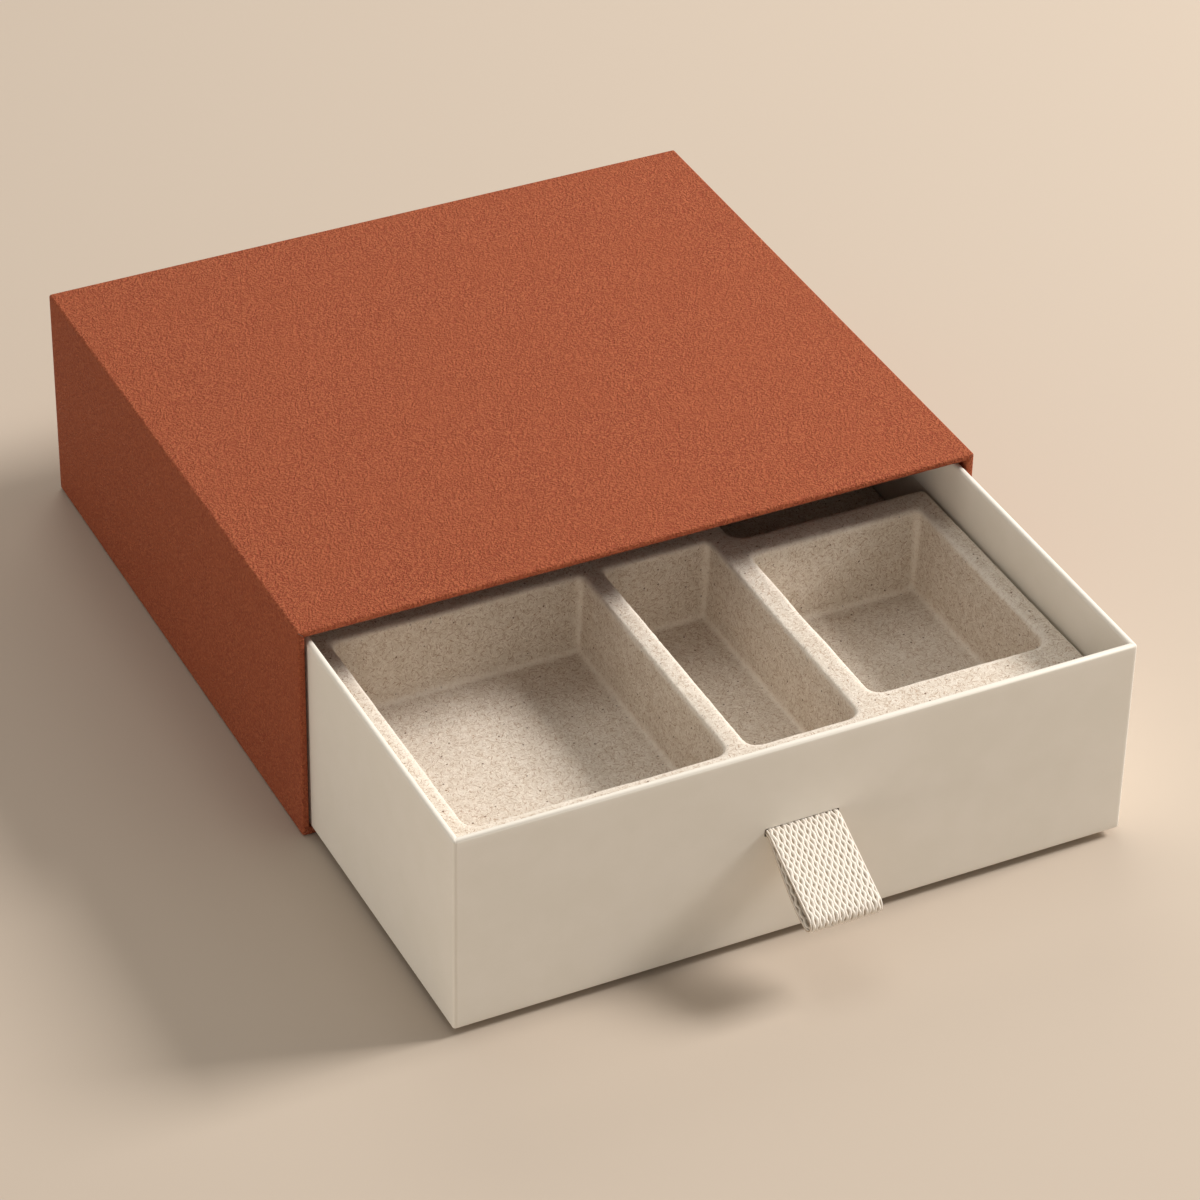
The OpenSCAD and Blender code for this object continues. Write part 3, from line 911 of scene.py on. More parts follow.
@dataclass
class Sleeve(PaperedBoards):
    """The outer sleeve: five boards, tapes, the embossed cover paper and its sheets."""

    body: Body = Body.SLEEVE
    sides: tuple[str, ...] = ("top", "base", "left", "right", "back")
    board_radius: float = 0.5
    width: float = 240.0
    depth: float = 218.0
    height: float = 80.0
    tape_end: float = 1.4
    mouth_radius: float = 0.75
    mouth_flat: float = 0.3
    turn_in: float = 15.0
    lap: float = 14.0
    sheet_inset: float = 1.6
    mitre_depth: float = 0.3
    least_radius: float = 0.45
    steps: int = 8

    def profile(self) -> Outline:
        """Inset from the outer faces and way along the sleeve, from the back lap.

        Returns:
            Pairs of inset and w, where w is -y, so it grows towards the mouth.
        """
        back, mouth = self.paper - self.depth / 2, self.depth / 2
        m, flat, wall = self.mouth_radius, self.mouth_flat, self.wall
        points = [(self.lap, back)]
        points += [(a, back + b) for a, b in round_off(self.edge_radius)]
        points += [(0.0, back + self.hold_long), (0.0, mouth - self.hold_long)]
        points += [(b, mouth - a) for a, b in round_off(m)]
        points += [(m + flat, mouth), (wall - m - flat, mouth)]
        points += [(wall - a, mouth - b) for a, b in round_off(m)]
        points += [(wall, mouth - self.hold), (wall, mouth - self.turn_in)]
        return points

    def cover_paper(self) -> None:
        """Builds the cover paper: round the tube, lapped behind, folded in at the mouth."""
        half, mouth = self.width / 2, self.depth / 2
        middle = self.steps // 2
        rings: list[Ring] = []
        for inset, w in self.profile():
            low = (-half + inset, self.paper + inset)
            high = (half - inset, self.height - inset)
            radius = max(self.edge_radius - inset, self.least_radius)
            at_mouth = max(0.0, 1 - (mouth - w) / self.mouth_radius)
            ring = []
            for i, (u, v) in enumerate(round_rectangle(low, high, radius, self.steps)):
                # the paper is mitred at the mouth's corners, which leaves a fine crease
                off = abs(i % (self.steps + 1) - middle)
                groove = self.mitre_depth * max(0.0, 1 - off / 2)
                ring.append(place(Turn.LYING, u, v, w - groove * at_mouth))
            rings.append(ring)
        points = [p for ring in rings for p in ring]
        faces = skin(rings, False, False)
        paper = make_piece("sleeve_cover_paper", points, faces, COVER_PAPER)
        self.thicken(paper)
        bake_modifiers(paper)
        shade(paper, 50)
        settle(paper, self.body, "sleeve_wrap")

    def base_sheet(self) -> None:
        """Builds the flat sheet under the base, which hides the laps."""
        u = self.width / 2 - self.sheet_inset
        v = self.depth / 2 - self.sheet_inset
        outline = round_rectangle((-u, -v), (u, v), 0.6, 3)
        name, span = "sleeve_base_cover_sheet", (0, self.paper)
        sheet = prism(name, outline, span, Turn.UPRIGHT, COVER_PAPER)
        settle(sheet, self.body, "sleeve_base_sheet")

    def edge_tapes(self) -> None:
        """Builds the four tapes folded over the long board edges."""
        out = self.width / 2 - self.paper + self.tape
        top = self.height - self.paper + self.tape
        base = 2 * self.paper - self.tape
        end = self.depth / 2 - self.tape_end
        levels = ((top, -1), (base, 1))
        corners = [(s * out, v, -s, up) for s in (-1, 1) for v, up in levels]
        name, node = "sleeve_edge_tape_strips", "sleeve_edge_tapes"
        self.fold_tapes(name, node, corners, (-end, end), Turn.LYING)

    def build(self) -> None:
        """Builds and dresses every piece of the sleeve."""
        self.lay_boards()
        self.edge_tapes()
        self.cover_paper()
        self.base_sheet()
        dress_cad_node("sleeve_back_sheet", COVER_PAPER)
        dress_cad_node("sleeve_lining", SHADED_LINING)


@dataclass
class Drawer(PaperedBoards):
    """The drawer's boards, tapes, papers and the slit for the pull."""

    body: Body = Body.DRAWER
    sides: tuple[str, ...] = ("front", "back", "left", "right", "base")
    board_radius: float = 0.9
    half_width: float = 116.8
    front: float = -217.0
    back: float = -2.0
    under: float = 2.9
    rim: float = 75.1
    tape_end: float = 1.8
    foot_radius: float = 0.8
    foot_hold: float = 3.0
    rim_radius: float = 1.15
    least_radius: float = 0.4
    fold_to: float = 55.1
    overlap_in: float = 1.15
    overlap_step: float = 0.09
    overlap_ramp: float = 0.08
    mitre_depth: float = 0.12
    slit_half: tuple[float, float] = (12.9, 1.5)
    slit_up: float = 43.7
    slit_radius: float = 0.5
    slit_reach: tuple[float, float] = (-4.0, 2.0)
    steps: int = 6

    def profile(self) -> Outline:
        """Inset from the outer faces and height, from the underside to the folded band.

        Returns:
            Pairs of inset and z.
        """
        under, rim, wall = self.under, self.rim, self.wall
        bend = round_off(self.rim_radius)
        points = [(self.foot_radius + self.hold_long, under)]
        points += [(a, under + b) for a, b in round_off(self.foot_radius)]
        points += [(0.0, under + self.foot_hold), (0.0, rim - self.hold)]
        points += [(b, rim - a) for a, b in bend] + [(wall - a, rim - b) for a, b in bend]
        points += [(wall, rim - self.hold), (wall, self.fold_to)]
        return points

    def ring(self, inset: float, z: float) -> Ring:
        """Draws one ring of the drawer's paper.

        The front and back sheets end a little in from the corners, over the side sheets,
        so their faces stand a step proud of the corners.

        Args:
            inset: Inset from the outer faces.
            z: Height.

        Returns:
            The ring's points.
        """
        step = self.overlap_step * max(0.0, 1 - inset / self.rim_radius)
        half, ramp = self.half_width, self.overlap_ramp
        low = (-half + inset, self.front + inset + step)
        high = (half - inset, self.back - inset - step)
        radius = max(self.edge_radius - inset, self.least_radius)
        outline = round_rectangle(low, high, radius, self.steps)
        arc, middle = self.steps + 1, self.steps // 2
        at_rim = max(0.0, 1 - abs(inset - self.wall / 2) / self.rim_radius)
        ring: Ring = []
        for corner in range(4):
            for k in range(arc):
                u, v = outline[corner * arc + k]
                groove = self.mitre_depth * max(0.0, 1 - abs(k - middle) / 2) * at_rim
                ring.append((u, v, z - groove))
            if corner in (0, 2):
                way, y = (1, low[1]) if corner == 0 else (-1, high[1])
                proud = y - way * step
                edge = half - max(self.overlap_in, inset + radius + 0.1)
                xs = [-edge, -edge + ramp, edge - ramp, edge]
                ring += [(way * x, v, z) for x, v in zip(xs, [y, proud, proud, y])]
        return ring

    def cover_paper(self) -> None:
        """Builds the drawer's paper, folded in over the rim, with its slit cut."""
        rings = [self.ring(inset, z) for inset, z in self.profile()]
        points = [p for ring in rings for p in ring]
        faces = skin(rings, True, False)
        paper = make_piece("drawer_cover_paper", points, faces, WHITE_PAPER)
        self.thicken(paper)
        (u, v), up = self.slit_half, self.slit_up
        outline = round_rectangle((-u, up - v), (u, up + v), self.slit_radius, 4)
        span = (self.slit_reach[0] - self.front, self.slit_reach[1] - self.front)
        cut = paper.modifiers.new("slit", "BOOLEAN")
        cut.object = prism("slit_cutter", outline, span, Turn.LYING, WHITE_PAPER)
        cut.operation = "DIFFERENCE"
        cut.solver = "EXACT"
        cutter = cut.object
        bake_modifiers(paper)
        shade(paper, 35)
        bpy.data.objects.remove(cutter)
        settle(paper, self.body, "drawer_wrap")

    def corner_tapes(self) -> None:
        """Builds the four tapes folded round the upright corners."""
        out = self.half_width - self.paper + self.tape
        front = self.front + self.paper - self.tape
        back = self.back - self.paper + self.tape
        ends = ((front, 1), (back, -1))
        corners = [(s * out, y, -s, inward) for s in (-1, 1) for y, inward in ends]
        name, node = "drawer_corner_tape_strips", "drawer_corner_tapes"
        span = (self.under + self.tape_end, self.rim - self.tape_end)
        self.fold_tapes(name, node, corners, span, Turn.UPRIGHT)

    def build(self) -> None:
        """Builds and dresses the drawer's pieces, apart from the insert and the pull."""
        self.lay_boards()
        self.corner_tapes()
        self.cover_paper()
        dress_cad_node("drawer_lining", WHITE_LINING)
        dress_cad_node("tail_patch", PATCH)


# ---------------------------------------------------------------- pulp insert


class Unwrap:
    """Flat coordinates, in metres, laid on each face from the side that it faces most."""

    LAYER = "flat"
    APART = 0.4

    def apply(self, piece: Piece) -> None:
        """Writes the flat coordinates to a piece as a UV map.

        Args:
            piece: The piece.
        """
        mesh = piece.data
        layer = mesh.uv_layers.new(name=self.LAYER)
        count = len(mesh.loops)
        corners = np.empty(count, np.int32)
        mesh.loops.foreach_get("vertex_index", corners)
        co = np.empty(len(mesh.vertices) * 3, np.float32)
        mesh.vertices.foreach_get("co", co)
        points = co.reshape(-1, 3)[corners]
        normals = np.empty(len(mesh.polygons) * 3, np.float32)
        mesh.polygons.foreach_get("normal", normals)
        totals = np.empty(len(mesh.polygons), np.int32)
        mesh.polygons.foreach_get("loop_total", totals)
        facing = np.repeat(np.abs(normals.reshape(-1, 3)).argmax(1), totals)
        first = np.where(facing == 0, 1, 0)
        second = np.where(facing == 2, 1, 2)
        rows = np.arange(count)
        # each facing has its own patch, so that no two walls share their fibres
        across = points[rows, first] + self.APART * facing
        flat = np.stack([across, points[rows, second]], 1)
        layer.data.foreach_set("uv", flat.astype(np.float32).ravel())


@dataclass
class PulpInsert:
    """The moulded insert: the CAD's wells, with the soft, uneven skin of drained pulp."""

    WEAR = "edge_wear"

    voxel: float = 0.8
    wave: float = 0.22
    wave_size: float = 17.0
    lump: float = 0.08
    lump_size: float = 3.4
    foot_clear: float = 6.0
    look_up: float = 0.4
    most_triangles: int = 190000
    seen_share: float = 0.5
    seen_cost: float = 0.05
    edge_highlight_turn: float = 18.0

    def unevenness(self, point: Vector) -> float:
        """How far the skin stands off its even form at a point, both in millimetres.

        Args:
            point: The point.

        Returns:
            The distance, outwards.
        """
        wave = noise.noise(point / self.wave_size)
        lump = noise.noise(point / self.lump_size + Vector((31.0, 7.0, 13.0)))
        return self.wave * wave + self.lump * lump

    def wear(self, vertex: bmesh.types.BMVert) -> float:
        """How much the skin turns at a point of the even mesh: 0 is flat, 1 an edge."""
        # painted highlight: the more the skin turns at a point, the paler it is drawn
        turn = max(e.calc_face_angle(0.0) for e in vertex.link_edges)
        return min(1.0, math.degrees(turn) / self.edge_highlight_turn)

    def remeshed(self, even: bmesh.types.BMesh) -> Piece:
        """Makes the insert's object with an even, fine mesh all over its skin.

        Args:
            even: The CAD form.

        Returns:
            The object.
        """
        mesh = bpy.data.meshes.new("pulp_insert_moulded")
        even.to_mesh(mesh)
        insert = show("pulp_insert_moulded", mesh)
        remesh = insert.modifiers.new("skin", "REMESH")
        remesh.mode = "VOXEL"
        remesh.voxel_size = self.voxel * MM
        bake_modifiers(insert)
        return insert

    def thin(self, insert: Piece, hidden: list[int]) -> None:
        """Thins the mesh under its limit, mostly where nobody looks: under the insert.

        Args:
            insert: The insert.
            hidden: Numbers of the points that can't be seen from above.
        """
        triangles = sum(len(p.vertices) - 2 for p in insert.data.polygons)
        if triangles <= self.most_triangles:
            return
        spare = insert.vertex_groups.new(name="spare")
        spare.add(list(range(len(insert.data.vertices))), self.seen_share, "REPLACE")
        spare.add(hidden, 1.0, "REPLACE")
        thin = insert.modifiers.new("thin", "DECIMATE")
        thin.ratio = self.most_triangles / triangles
        thin.vertex_group = spare.name
        thin.vertex_group_factor = self.seen_cost
        thin.use_collapse_triangulate = True
        bake_modifiers(insert)
        insert.vertex_groups.clear()

    def build(self) -> None:
        """Builds and dresses the insert."""
        even = cad_copy("pulp_insert")
        tree = BVHTree.FromBMesh(even)
        insert = self.remeshed(even)
        even.free()
        shape = bmesh.new()
        shape.from_mesh(insert.data)
        for vertex in shape.verts:
            vertex.co = tree.find_nearest(vertex.co)[0]
        every_way = {f"use_axis_{axis}": True for axis in "xyz"}
        bmesh.ops.smooth_vert(shape, verts=shape.verts, factor=0.5, **every_way)
        shape.normal_update()
        foot = min(v.co.z for v in shape.verts)
        up = Vector((0, 0, 1))
        moved, hidden = [], []
        for vertex in shape.verts:
            clear = min(1.0, (vertex.co.z - foot) / (self.foot_clear * MM))
            height = self.unevenness(vertex.co / MM) * clear
            moved.append(vertex.co + vertex.normal * height * MM)
            above = vertex.co + vertex.normal * self.look_up * MM
            if vertex.normal.z < -0.4 or tree.ray_cast(above, up)[0] is not None:
                hidden.append(vertex.index)
        wear = [self.wear(vertex) for vertex in shape.verts]
        for vertex, point in zip(shape.verts, moved):
            vertex.co = point
        shape.to_mesh(insert.data)
        shape.free()
        # painted highlight: each point's turn, stored so that edges and creases are drawn
        # paler
        highlit = insert.data.attributes.new(self.WEAR, "FLOAT", "POINT")
        highlit.data.foreach_set("value", wear)
        self.thin(insert, hidden)
        insert.data.materials.clear()
        insert.data.materials.append(PULP.material())
        insert.data.shade_smooth()
        Unwrap().apply(insert)
        settle(insert, Body.DRAWER, "pulp_insert")


# ---------------------------------------------------------------- webbing pull


class WeaveAttribute(Enum):
    """Attributes that the weave carries for its material."""

    PLACE = "woven_place"
    LIFT = "woven_lift"


@dataclass(frozen=True)
class Weave:
    """How the webbing is woven, in millimetres.

    Round strands run along it side by side. Each sways from its left neighbour to its
    right one and back, so they meet in pairs and leave staggered gaps between the pairs.
    """

    strands: int = 21
    strand_pitch: float = 1.12
    row_pitch: float = 1.9
    sway: float = 0.24
    strand_width: float = 1.2
    strand_height: float = 1.34
    pinch: float = 0.34
    wander: float = 0.7
    wander_size: float = 3.2
    row_wander: float = 3.0
    ground_thickness: float = 0.3
    ground_step: float = 0.45
    selvedge: float = 0.38
    sides: int = 8
    steps_per_row: float = 6.0


@dataclass
class WebbingPull:
    """One length of webbing: glued tail, slit, folded loop, slit and second tail."""

    weave: Weave = field(default_factory=Weave)
    width: float = 25.0
    thickness: float = 1.3
    slit_up: float = 43.7
    tail_y: float = -213.95
    tail_reach: float = 9.0
    tail_bend: float = 0.95
    root_y: float = -218.5
    fold_out: float = 25.7
    fold_down: float = 15.1
    fold_radius: float = 2.65
    lower_slope: float = 41.5
    root_bend: float = 2.2
    spacing: float = 0.35
    bend_steps: int = 24
    tail_steps: int = 8

    def loop_line(self) -> list[np.ndarray]:
        """Middle line of the loop outside the slit, from its upper to its lower root.

        Returns:
            Points as [out, up] from the root.
        """
        half, radius, steps = self.thickness / 2, self.fold_radius, self.bend_steps
        centre = np.array([self.fold_out, -self.fold_down])
        top, low = np.array([0.0, half]), np.array([0.0, -half])
        run = centre - top
        slope = math.degrees(math.atan2(run[1], run[0]))
        slope += math.degrees(math.asin(radius / np.linalg.norm(run)))
        drop = self.fold_down + radius
        knee = np.array([(drop - half) / math.tan(math.radians(self.lower_slope)), -drop])
        bend = []
        for k in range(steps + 1):
            a = math.radians(90 + slope - (180 + slope) * k / steps)
            bend.append(centre + radius * np.array([math.cos(a), math.sin(a)]))
        lower = [
            (1 - t) ** 2 * bend[-1] + 2 * t * (1 - t) * knee + t * t * low
            for t in np.linspace(0, 1, steps + 1)[1:]
        ]
        return [top, *bend, *lower]

    def tail(self, layer: Layer) -> list[np.ndarray]:
        """Middle line of one tail, from its end behind the front to its loop root.

        Args:
            layer: Which layer of the webbing it is.

        Returns:
            Points as [y, z].
        """
        sign, r = layer.value, self.tail_bend
        level = self.slit_up + sign * self.thickness / 2
        centre = np.array([self.tail_y - r, level + sign * r])
        points = [np.array([self.tail_y, self.slit_up + sign * self.tail_reach])]
        for k in range(self.tail_steps + 1):
            a = math.pi / 2 * k / self.tail_steps
            points.append(centre + r * np.array([math.cos(a), -sign * math.sin(a)]))
        return points

    def middle_line(self) -> np.ndarray:
        """Middle line of the whole webbing, evenly spaced and eased at its bends.

        Returns:
            Points as rows of y and z, from the upper tail's end to the lower's.
        """
        root = (self.root_y, self.slit_up)
        loop = [np.array([root[0] - out, root[1] + up]) for out, up in self.loop_line()]
        line = self.tail(Layer.UPPER) + loop + self.tail(Layer.LOWER)[::-1]
        points = self.spaced(np.array(line), self.spacing)
        reach = max(1, round(self.root_bend / 2 / self.spacing))
        eased = points.copy()
        near_root = np.abs(points[:, 0] - self.root_y) < self.root_bend
        for i in np.flatnonzero(near_root):
            eased[i] = points[max(0, i - reach) : i + reach + 1].mean(0)
        return self.spaced(eased, self.spacing)

    @staticmethod
    def spaced(points: np.ndarray, gap: float) -> np.ndarray:
        """Points at an even gap along a line of points.

        Args:
            points: The line's points.
            gap: The gap.

        Returns:
            The new points, from the line's first to its last.
        """
        steps = np.linalg.norm(np.diff(points, axis=0), axis=1)
        along = np.concatenate([[0], np.cumsum(steps)])
        count = max(2, round(along[-1] / gap) + 1)
        at = np.linspace(0, along[-1], count)
        return np.stack([np.interp(at, along, points[:, k]) for k in (0, 1)], 1)

    def sizes(self, length: float) -> dict[str, float]:
        """Sizes of the weave for a webbing of one length.

        Args:
            length: The webbing's length, in millimetres.

        Returns:
            The sizes in metres, by the names of the tree's inputs.
        """
        weave = self.weave
        sizes = {
            "Width": self.width,
            "Length": length,
            "Strand pitch": weave.strand_pitch,
            "Row pitch": weave.row_pitch,
            "Sway": weave.sway,
            "Strand width": weave.strand_width,
            "Strand height": weave.strand_height,
            "Wander": weave.wander,
            "Wander size": weave.wander_size,
            "Row wander": weave.row_wander,
            "Ground thickness": weave.ground_thickness,
            "Ground step": weave.ground_step,
            "Selvedge": weave.selvedge,
        }
        return {name: size * MM for name, size in sizes.items()}

    def weave_tree(self, numbers: Iterable[str]) -> Tree:
        """Builds the tree that weaves strands on a ground and bends them along a line.

        Args:
            numbers: Names of the tree's number inputs.

        Returns:
            The tree. It weaves flat, with x across and y along, then lays y along the
            line that the object's own mesh gives.
        """
        tree = bpy.data.node_groups.new("weave_along_line", "GeometryNodeTree")
        kinds = {"Geometry": "Geometry", "Strands": "Int", "Yarn": "Material"}
        kinds.update({name: "Float" for name in numbers})
        for name, kind in kinds.items():
            socket = {"in_out": "INPUT", "socket_type": f"NodeSocket{kind}"}
            tree.interface.new_socket(name, **socket)
        tree.interface.new_socket(
            "Geometry", in_out="OUTPUT", socket_type="NodeSocketGeometry"
        )
        add = partial(add_node, tree)
        given = add("NodeGroupInput")
        parts = [self.strand_nodes(add, given), self.ground_nodes(add, given)]
        bent = self.bend_nodes(add, given, add("GeometryNodeJoinGeometry", parts)[0])
        smooth = add("GeometryNodeSetShadeSmooth", bent)[0]
        real = add("GeometryNodeRealizeInstances", smooth)[0]
        dressed = add("GeometryNodeSetMaterial", {0: real, 2: given["Yarn"]})[0]
        add("NodeGroupOutput", dressed)
        return tree

    def strand_nodes(self, add: AddNode, given: Outputs) -> Socket:
        """Adds the nodes that lay the swaying strands out flat.

        Args:
            add: Adds a node to the tree.
            given: The tree's inputs.

        Returns:
            The strands as one flat mesh.
        """
        end = add(XYZ, 0.0, given["Length"])[0]
        straight = add("GeometryNodeCurvePrimitiveLine", {"End": end}, mode="POINTS")[0]
        per_row = self.weave.steps_per_row
        gap = add(MATH, given["Row pitch"], per_row, operation="DIVIDE")[0]
        steps = add(MATH, given["Length"], gap, operation="DIVIDE")[0]
        line = add("GeometryNodeResampleCurve", {"Curve": straight, "Count": steps})[0]
        last = add(MATH, given["Strands"], 1.0, operation="SUBTRACT")[0]
        middle = add(MATH, last, 0.5, operation="MULTIPLY")[0]
        out = add(MATH, add("GeometryNodeInputIndex")[0], middle, operation="SUBTRACT")[0]
        start = add(MATH, out, given["Strand pitch"], operation="MULTIPLY")[0]
        starts = add("GeometryNodePoints", given["Strands"], add(XYZ, start)[0])[0]
        copies = {"Points": starts, "Instance": line}
        copies = add("GeometryNodeInstanceOnPoints", copies)[0]
        strands = add("GeometryNodeRealizeInstances", copies)[0]

        position = add("GeometryNodeInputPosition")[0]
        x, y, _ = add(SPLIT, position)
        scale = add(MATH, 1.0, given["Wander size"], operation="DIVIDE")[0]
        drift = add(NOISE, {"Vector": position, "Scale": scale, "Detail": 1.0})["Color"]
        drift_x, drift_y, _ = add(SPLIT, drift)
        across = add(MATH, drift_x, 0.5, operation="SUBTRACT")[0]
        along = add(MATH, drift_y, 0.5, operation="SUBTRACT")[0]
        # every second strand sways the other way, half a turn later for each row
        number = add(MATH, x, given["Strand pitch"], operation="DIVIDE")[0]
        number = add(MATH, number, middle, operation="ADD")[0]
        number = add(MATH, number, operation="ROUND")[0]
        row = add(MATH, along, given["Row wander"], y, operation="MULTIPLY_ADD")[0]
        row = add(MATH, row, given["Row pitch"], operation="DIVIDE")[0]
        turn = add(MATH, row, number, operation="ADD")[0]
        turn = add(MATH, turn, math.pi, operation="MULTIPLY")[0]
        swing = add(MATH, turn, operation="COSINE")[0]
        sway = add(MATH, swing, given["Sway"], operation="MULTIPLY")[0]
        shift = add(MATH, across, given["Wander"], sway, operation="MULTIPLY_ADD")[0]
        swayed = add("GeometryNodeSetPosition", {0: strands, 3: add(XYZ, shift)[0]})[0]
        # a strand is fullest where it meets its neighbour, and pinched between
        full = add(MATH, swing, operation="ABSOLUTE")[0]
        least = add(MATH, 1.0, given["Pinch"], operation="SUBTRACT")[0]
        girth = add(MATH, full, given["Pinch"], least, operation="MULTIPLY_ADD")[0]
        thick = add("GeometryNodeSetCurveRadius", {"Curve": swayed, "Radius": girth})[0]
        radius = add(MATH, given["Strand width"], 0.5, operation="MULTIPLY")[0]
        circle = {"Resolution": self.weave.sides, "Radius": radius}
        circle = add("GeometryNodeCurvePrimitiveCircle", circle, mode="RADIUS")[0]
        tube = {"Curve": thick, "Profile Curve": circle, "Fill Caps": True}
        tube = add("GeometryNodeCurveToMesh", tube)[0]
        high, wide = given["Strand height"], given["Strand width"]
        tall = add(MATH, high, wide, operation="DIVIDE")[0]
        stretch = add(XYZ, 1.0, 1.0, tall)[0]
        return add("GeometryNodeTransform", {0: tube, "Scale": stretch})[0]

    def ground_nodes(self, add: AddNode, given: Outputs) -> Socket:
        """Adds the nodes for the flat ground weave and its two selvedge cords.

        Args:
            add: Adds a node to the tree.
            given: The tree's inputs.

        Returns:
            The ground and the cords as one flat mesh.
        """
        length, edge = given["Length"], given["Selvedge"]
        along = add(MATH, length, given["Ground step"], operation="DIVIDE")[0]
        halfway = add(MATH, length, 0.5, operation="MULTIPLY")[0]
        cords = add(MATH, edge, 2.0, operation="MULTIPLY")[0]
        inner = add(MATH, given["Width"], cords, operation="SUBTRACT")[0]
        size = add(XYZ, inner, length, given["Ground thickness"])[0]
        ribbon = add("GeometryNodeMeshCube", size, 4, along, 2)[0]
        parts = [add("GeometryNodeTransform", ribbon, add(XYZ, 0.0, halfway)[0])[0]]
        cord = {"Vertices": self.weave.sides, "Side Segments": along}
        cord = {**cord, "Radius": edge, "Depth": length}
        cord = add("GeometryNodeMeshCylinder", cord)[0]
        half = add(MATH, given["Width"], 0.5, operation="MULTIPLY")[0]
        out = add(MATH, half, edge, operation="SUBTRACT")[0]
        for sign in (-1.0, 1.0):
            side = add(MATH, out, sign, operation="MULTIPLY")[0]
            spot = add(XYZ, side, halfway)[0]
            laid = add("GeometryNodeTransform", cord, spot, (math.pi / 2, 0.0, 0.0))[0]
            parts.append(laid)
        return add("GeometryNodeJoinGeometry", parts)[0]

    def bend_nodes(self, add: AddNode, given: Outputs, flat: Socket) -> Socket:
        """Adds the nodes that keep each point's flat place and bend it along the line.

        Args:
            add: Adds a node to the tree.
            given: The tree's inputs.
            flat: The flat weave.

        Returns:
            The bent weave.
        """
        position = add("GeometryNodeInputPosition")[0]
        x, y, z = add(SPLIT, position)
        high = add(MATH, z, operation="ABSOLUTE")[0]
        half = add(MATH, given["Strand height"], 0.5, operation="MULTIPLY")[0]
        lift = add(MATH, high, half, operation="DIVIDE")[0]
        kept = flat
        for name, value, kind in (
            (WeaveAttribute.PLACE, position, "FLOAT_VECTOR"),
            (WeaveAttribute.LIFT, lift, "FLOAT"),
        ):
            stored = {0: kept, "Name": name.value, "Value": value}
            kept = add("GeometryNodeStoreNamedAttribute", stored, data_type=kind)[0]
        line = add("GeometryNodeMeshToCurve", given["Geometry"])[0]
        found = {"Curves": line, "Length": y}
        found = add("GeometryNodeSampleCurve", found, mode="LENGTH")
        right = (1.0, 0.0, 0.0)
        up = add(VECTOR_MATH, found["Tangent"], right, operation="CROSS_PRODUCT")[0]
        raised = add(VECTOR_MATH, {0: up, "Scale": z}, operation="SCALE")[0]
        spot = add(VECTOR_MATH, found["Position"], raised, operation="ADD")[0]
        spot = add(VECTOR_MATH, spot, add(XYZ, x)[0], operation="ADD")[0]
        return add("GeometryNodeSetPosition", {0: kept, 2: spot})[0]

    def build(self) -> None:
        """Weaves the pull along its line, in place of the CAD pull's nodes."""
        line = self.middle_line()
        mesh = bpy.data.meshes.new("pull_webbing")
        points = [(0.0, y * MM, z * MM) for y, z in line]
        mesh.from_pydata(points, [(i, i + 1) for i in range(len(points) - 1)], [])
        pull = show("pull_webbing", mesh)
        length = float(np.linalg.norm(np.diff(line, axis=0), axis=1).sum())
        numbers = {**self.sizes(length), "Pinch": self.weave.pinch}
        values = {**numbers, "Strands": self.weave.strands, "Yarn": YARN.material()}
        modifier = pull.modifiers.new("weave", "NODES")
        tree = self.weave_tree(numbers)
        modifier.node_group = tree
        for item in tree.interface.items_tree:
            if item.in_out == "INPUT" and item.name in values:
                modifier[item.identifier] = values[item.name]
        bake_modifiers(pull)
        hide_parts("pull_loop", "pull_tails")
        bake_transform(pull)
        LOG.info("%s: %d faces, drawer to pull", pull.name, len(pull.data.polygons))


# ---------------------------------------------------------------- studio


def direction(azimuth: float, elevation: float) -> Vector:
    """Finds the way to a standpoint.

    Args:
        azimuth: Degrees round the box, where 0 is in front of the drawer.
        elevation: Degrees above the floor.

    Returns:
        The way, one metre long.
    """
    az, el = math.radians(azimuth), math.radians(elevation)
    out = math.cos(el)
    return Vector((math.sin(az) * out, -math.cos(az) * out, math.sin(el)))


@dataclass(frozen=True)
class Softbox:
    """A square lamp that faces the box. Its direction is where it stands."""

    name: str
    azimuth: float
    elevation: float
    distance: float
    size: float
    power: float
    colour: str
    aim: tuple[float, float, float] = (0.0, -0.05, 0.03)

    def build(self) -> None:
        """Puts the lamp up."""
        way = direction(self.azimuth, self.elevation)
        lamp = bpy.data.lights.new(self.name, "AREA")
        lamp.shape = "SQUARE"
        lamp.size = self.size
        lamp.energy = self.power
        lamp.color = linear(self.colour)[:3]
        stand = bpy.data.objects.new(self.name, lamp)
        stand.location = way * self.distance + Vector(self.aim)
        stand.rotation_euler = way.to_track_quat("Z", "Y").to_euler()
        bpy.context.scene.collection.objects.link(stand)


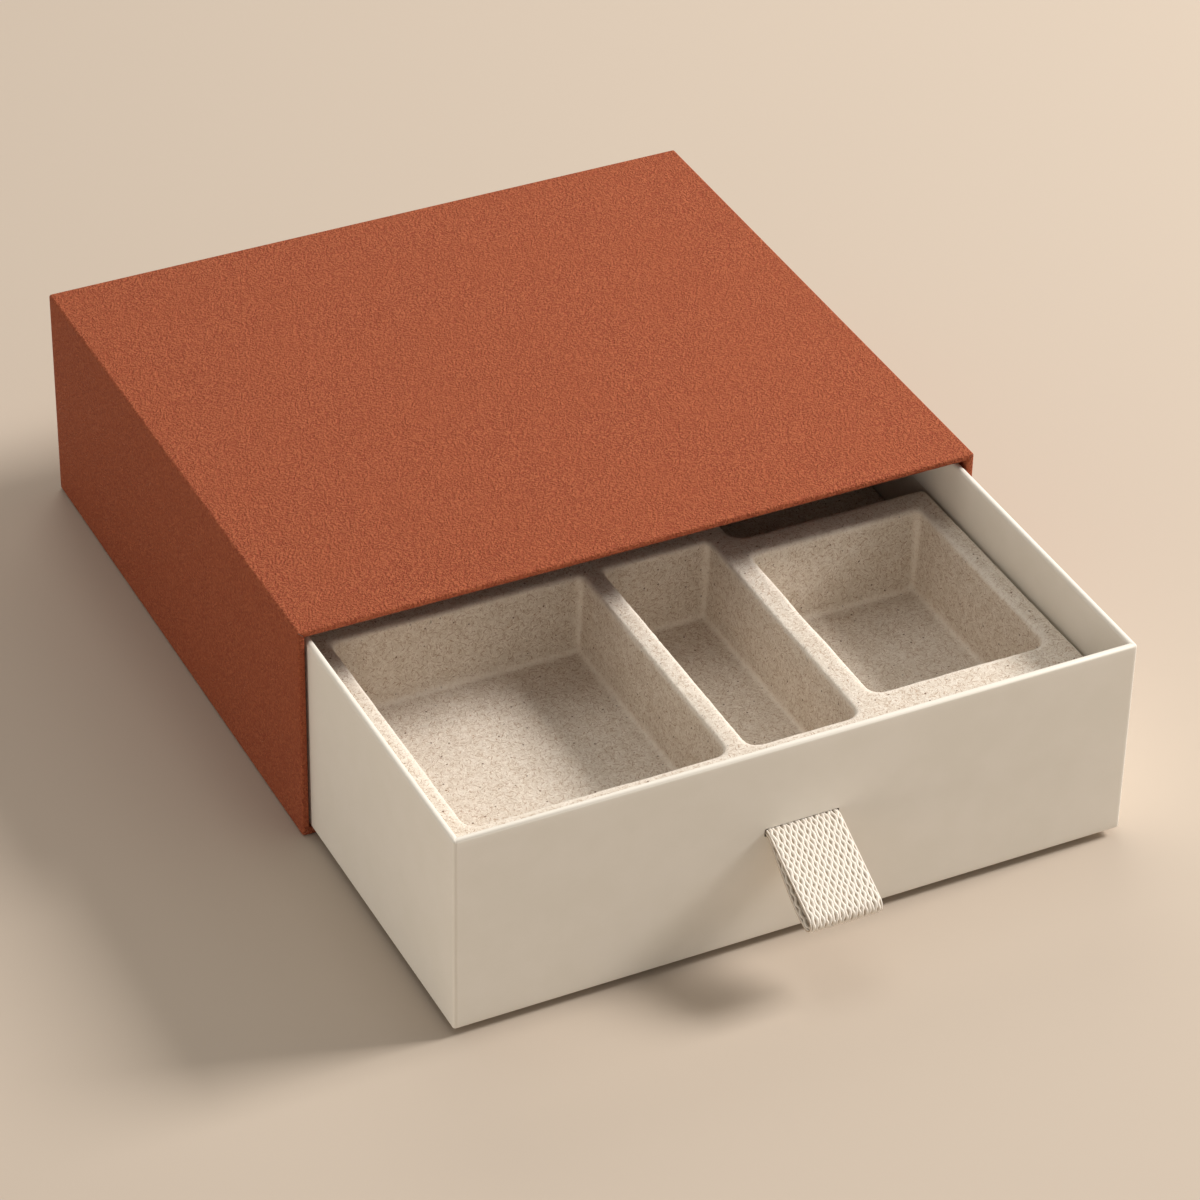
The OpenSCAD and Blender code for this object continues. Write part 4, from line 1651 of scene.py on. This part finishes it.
@dataclass
class Studio:
    """A plain pale floor, a key light from the right, an even fill and the camera."""

    floor_colour: str = "#C5B8AA"
    floor_size: float = 12.0
    floor_under: float = 0.05
    fill: float = 0.325
    fill_colour: str = "#FFF7EC"
    lamps: tuple[Softbox, ...] = (
        Softbox("key_softbox", 79.5, 38.0, 2.8, 0.85, 87.0, "#FFFAF4"),
        Softbox("back_softbox", 158.0, 42.0, 2.4, 1.2, 9.0, "#FFFAF2"),
        Softbox("top_softbox", 180.0, 82.0, 2.5, 1.2, 8.8, "#FFFAF2"),
        Softbox("left_softbox", -78.0, 3.0, 1.3, 0.16, 2.8, "#FFF6EA"),
    )
    azimuth: float = -26.786
    elevation: float = 35.547
    roll: float = 1.207
    standpoint: tuple[float, float, float] = (-550.17, -1167.06, 908.56)
    focal_px: float = 4575.05
    frame_px: float = 1200.0
    sensor: float = 36.0

    def floor(self) -> None:
        """Lays the floor just under the box."""
        half, down = self.floor_size / 2, -self.floor_under * MM
        mesh = bpy.data.meshes.new("studio_floor")
        corners = [(-half, -half), (half, -half), (half, half), (-half, half)]
        mesh.from_pydata([(x, y, down) for x, y in corners], [], [(0, 1, 2, 3)])
        material = bpy.data.materials.new("matt_studio_floor")
        material.use_nodes = True
        inputs = material.node_tree.nodes["Principled BSDF"].inputs
        inputs["Base Color"].default_value = linear(self.floor_colour)
        inputs["Roughness"].default_value = 0.9
        inputs["Specular IOR Level"].default_value = 0.2
        mesh.materials.append(material)
        show("studio_floor", mesh)

    def world(self) -> None:
        """Lights the whole room evenly."""
        world = bpy.data.worlds.new("even_room_light")
        world.use_nodes = True
        background = world.node_tree.nodes["Background"]
        background.inputs["Color"].default_value = linear(self.fill_colour)
        background.inputs["Strength"].default_value = self.fill
        bpy.context.scene.world = world

    def camera(self) -> None:
        """Sets up the camera where the photograph was taken from."""
        back, roll = direction(self.azimuth, self.elevation), math.radians(self.roll)
        right = (-back).cross(Vector((0, 0, 1))).normalized()
        up = right.cross(-back)
        rolled_right = math.cos(roll) * right + math.sin(roll) * up
        rolled_up = -math.sin(roll) * right + math.cos(roll) * up
        turn = Matrix((rolled_right, rolled_up, back)).transposed()
        data = bpy.data.cameras.new("photo_camera")
        data.sensor_width = self.sensor
        data.lens = self.focal_px / self.frame_px * self.sensor
        data.clip_start, data.clip_end = 0.05, 50.0
        camera = bpy.data.objects.new("photo_camera", data)
        spot = Vector(self.standpoint) * MM
        camera.matrix_world = Matrix.Translation(spot) @ turn.to_4x4()
        bpy.context.scene.collection.objects.link(camera)
        bpy.context.scene.camera = camera

    def build(self) -> None:
        """Sets up the floor, the lights and the camera."""
        self.floor()
        self.world()
        for lamp in self.lamps:
            lamp.build()
        self.camera()
        bpy.context.scene.view_settings.view_transform = "Standard"


def main() -> None:
    """Builds the gift box piece by piece, then the studio round it."""
    logging.basicConfig(level=logging.INFO, format="%(message)s")
    Studio().build()
    Sleeve().build()
    Drawer().build()
    PulpInsert().build()
    WebbingPull().build()


if __name__ == "__main__":
    main()
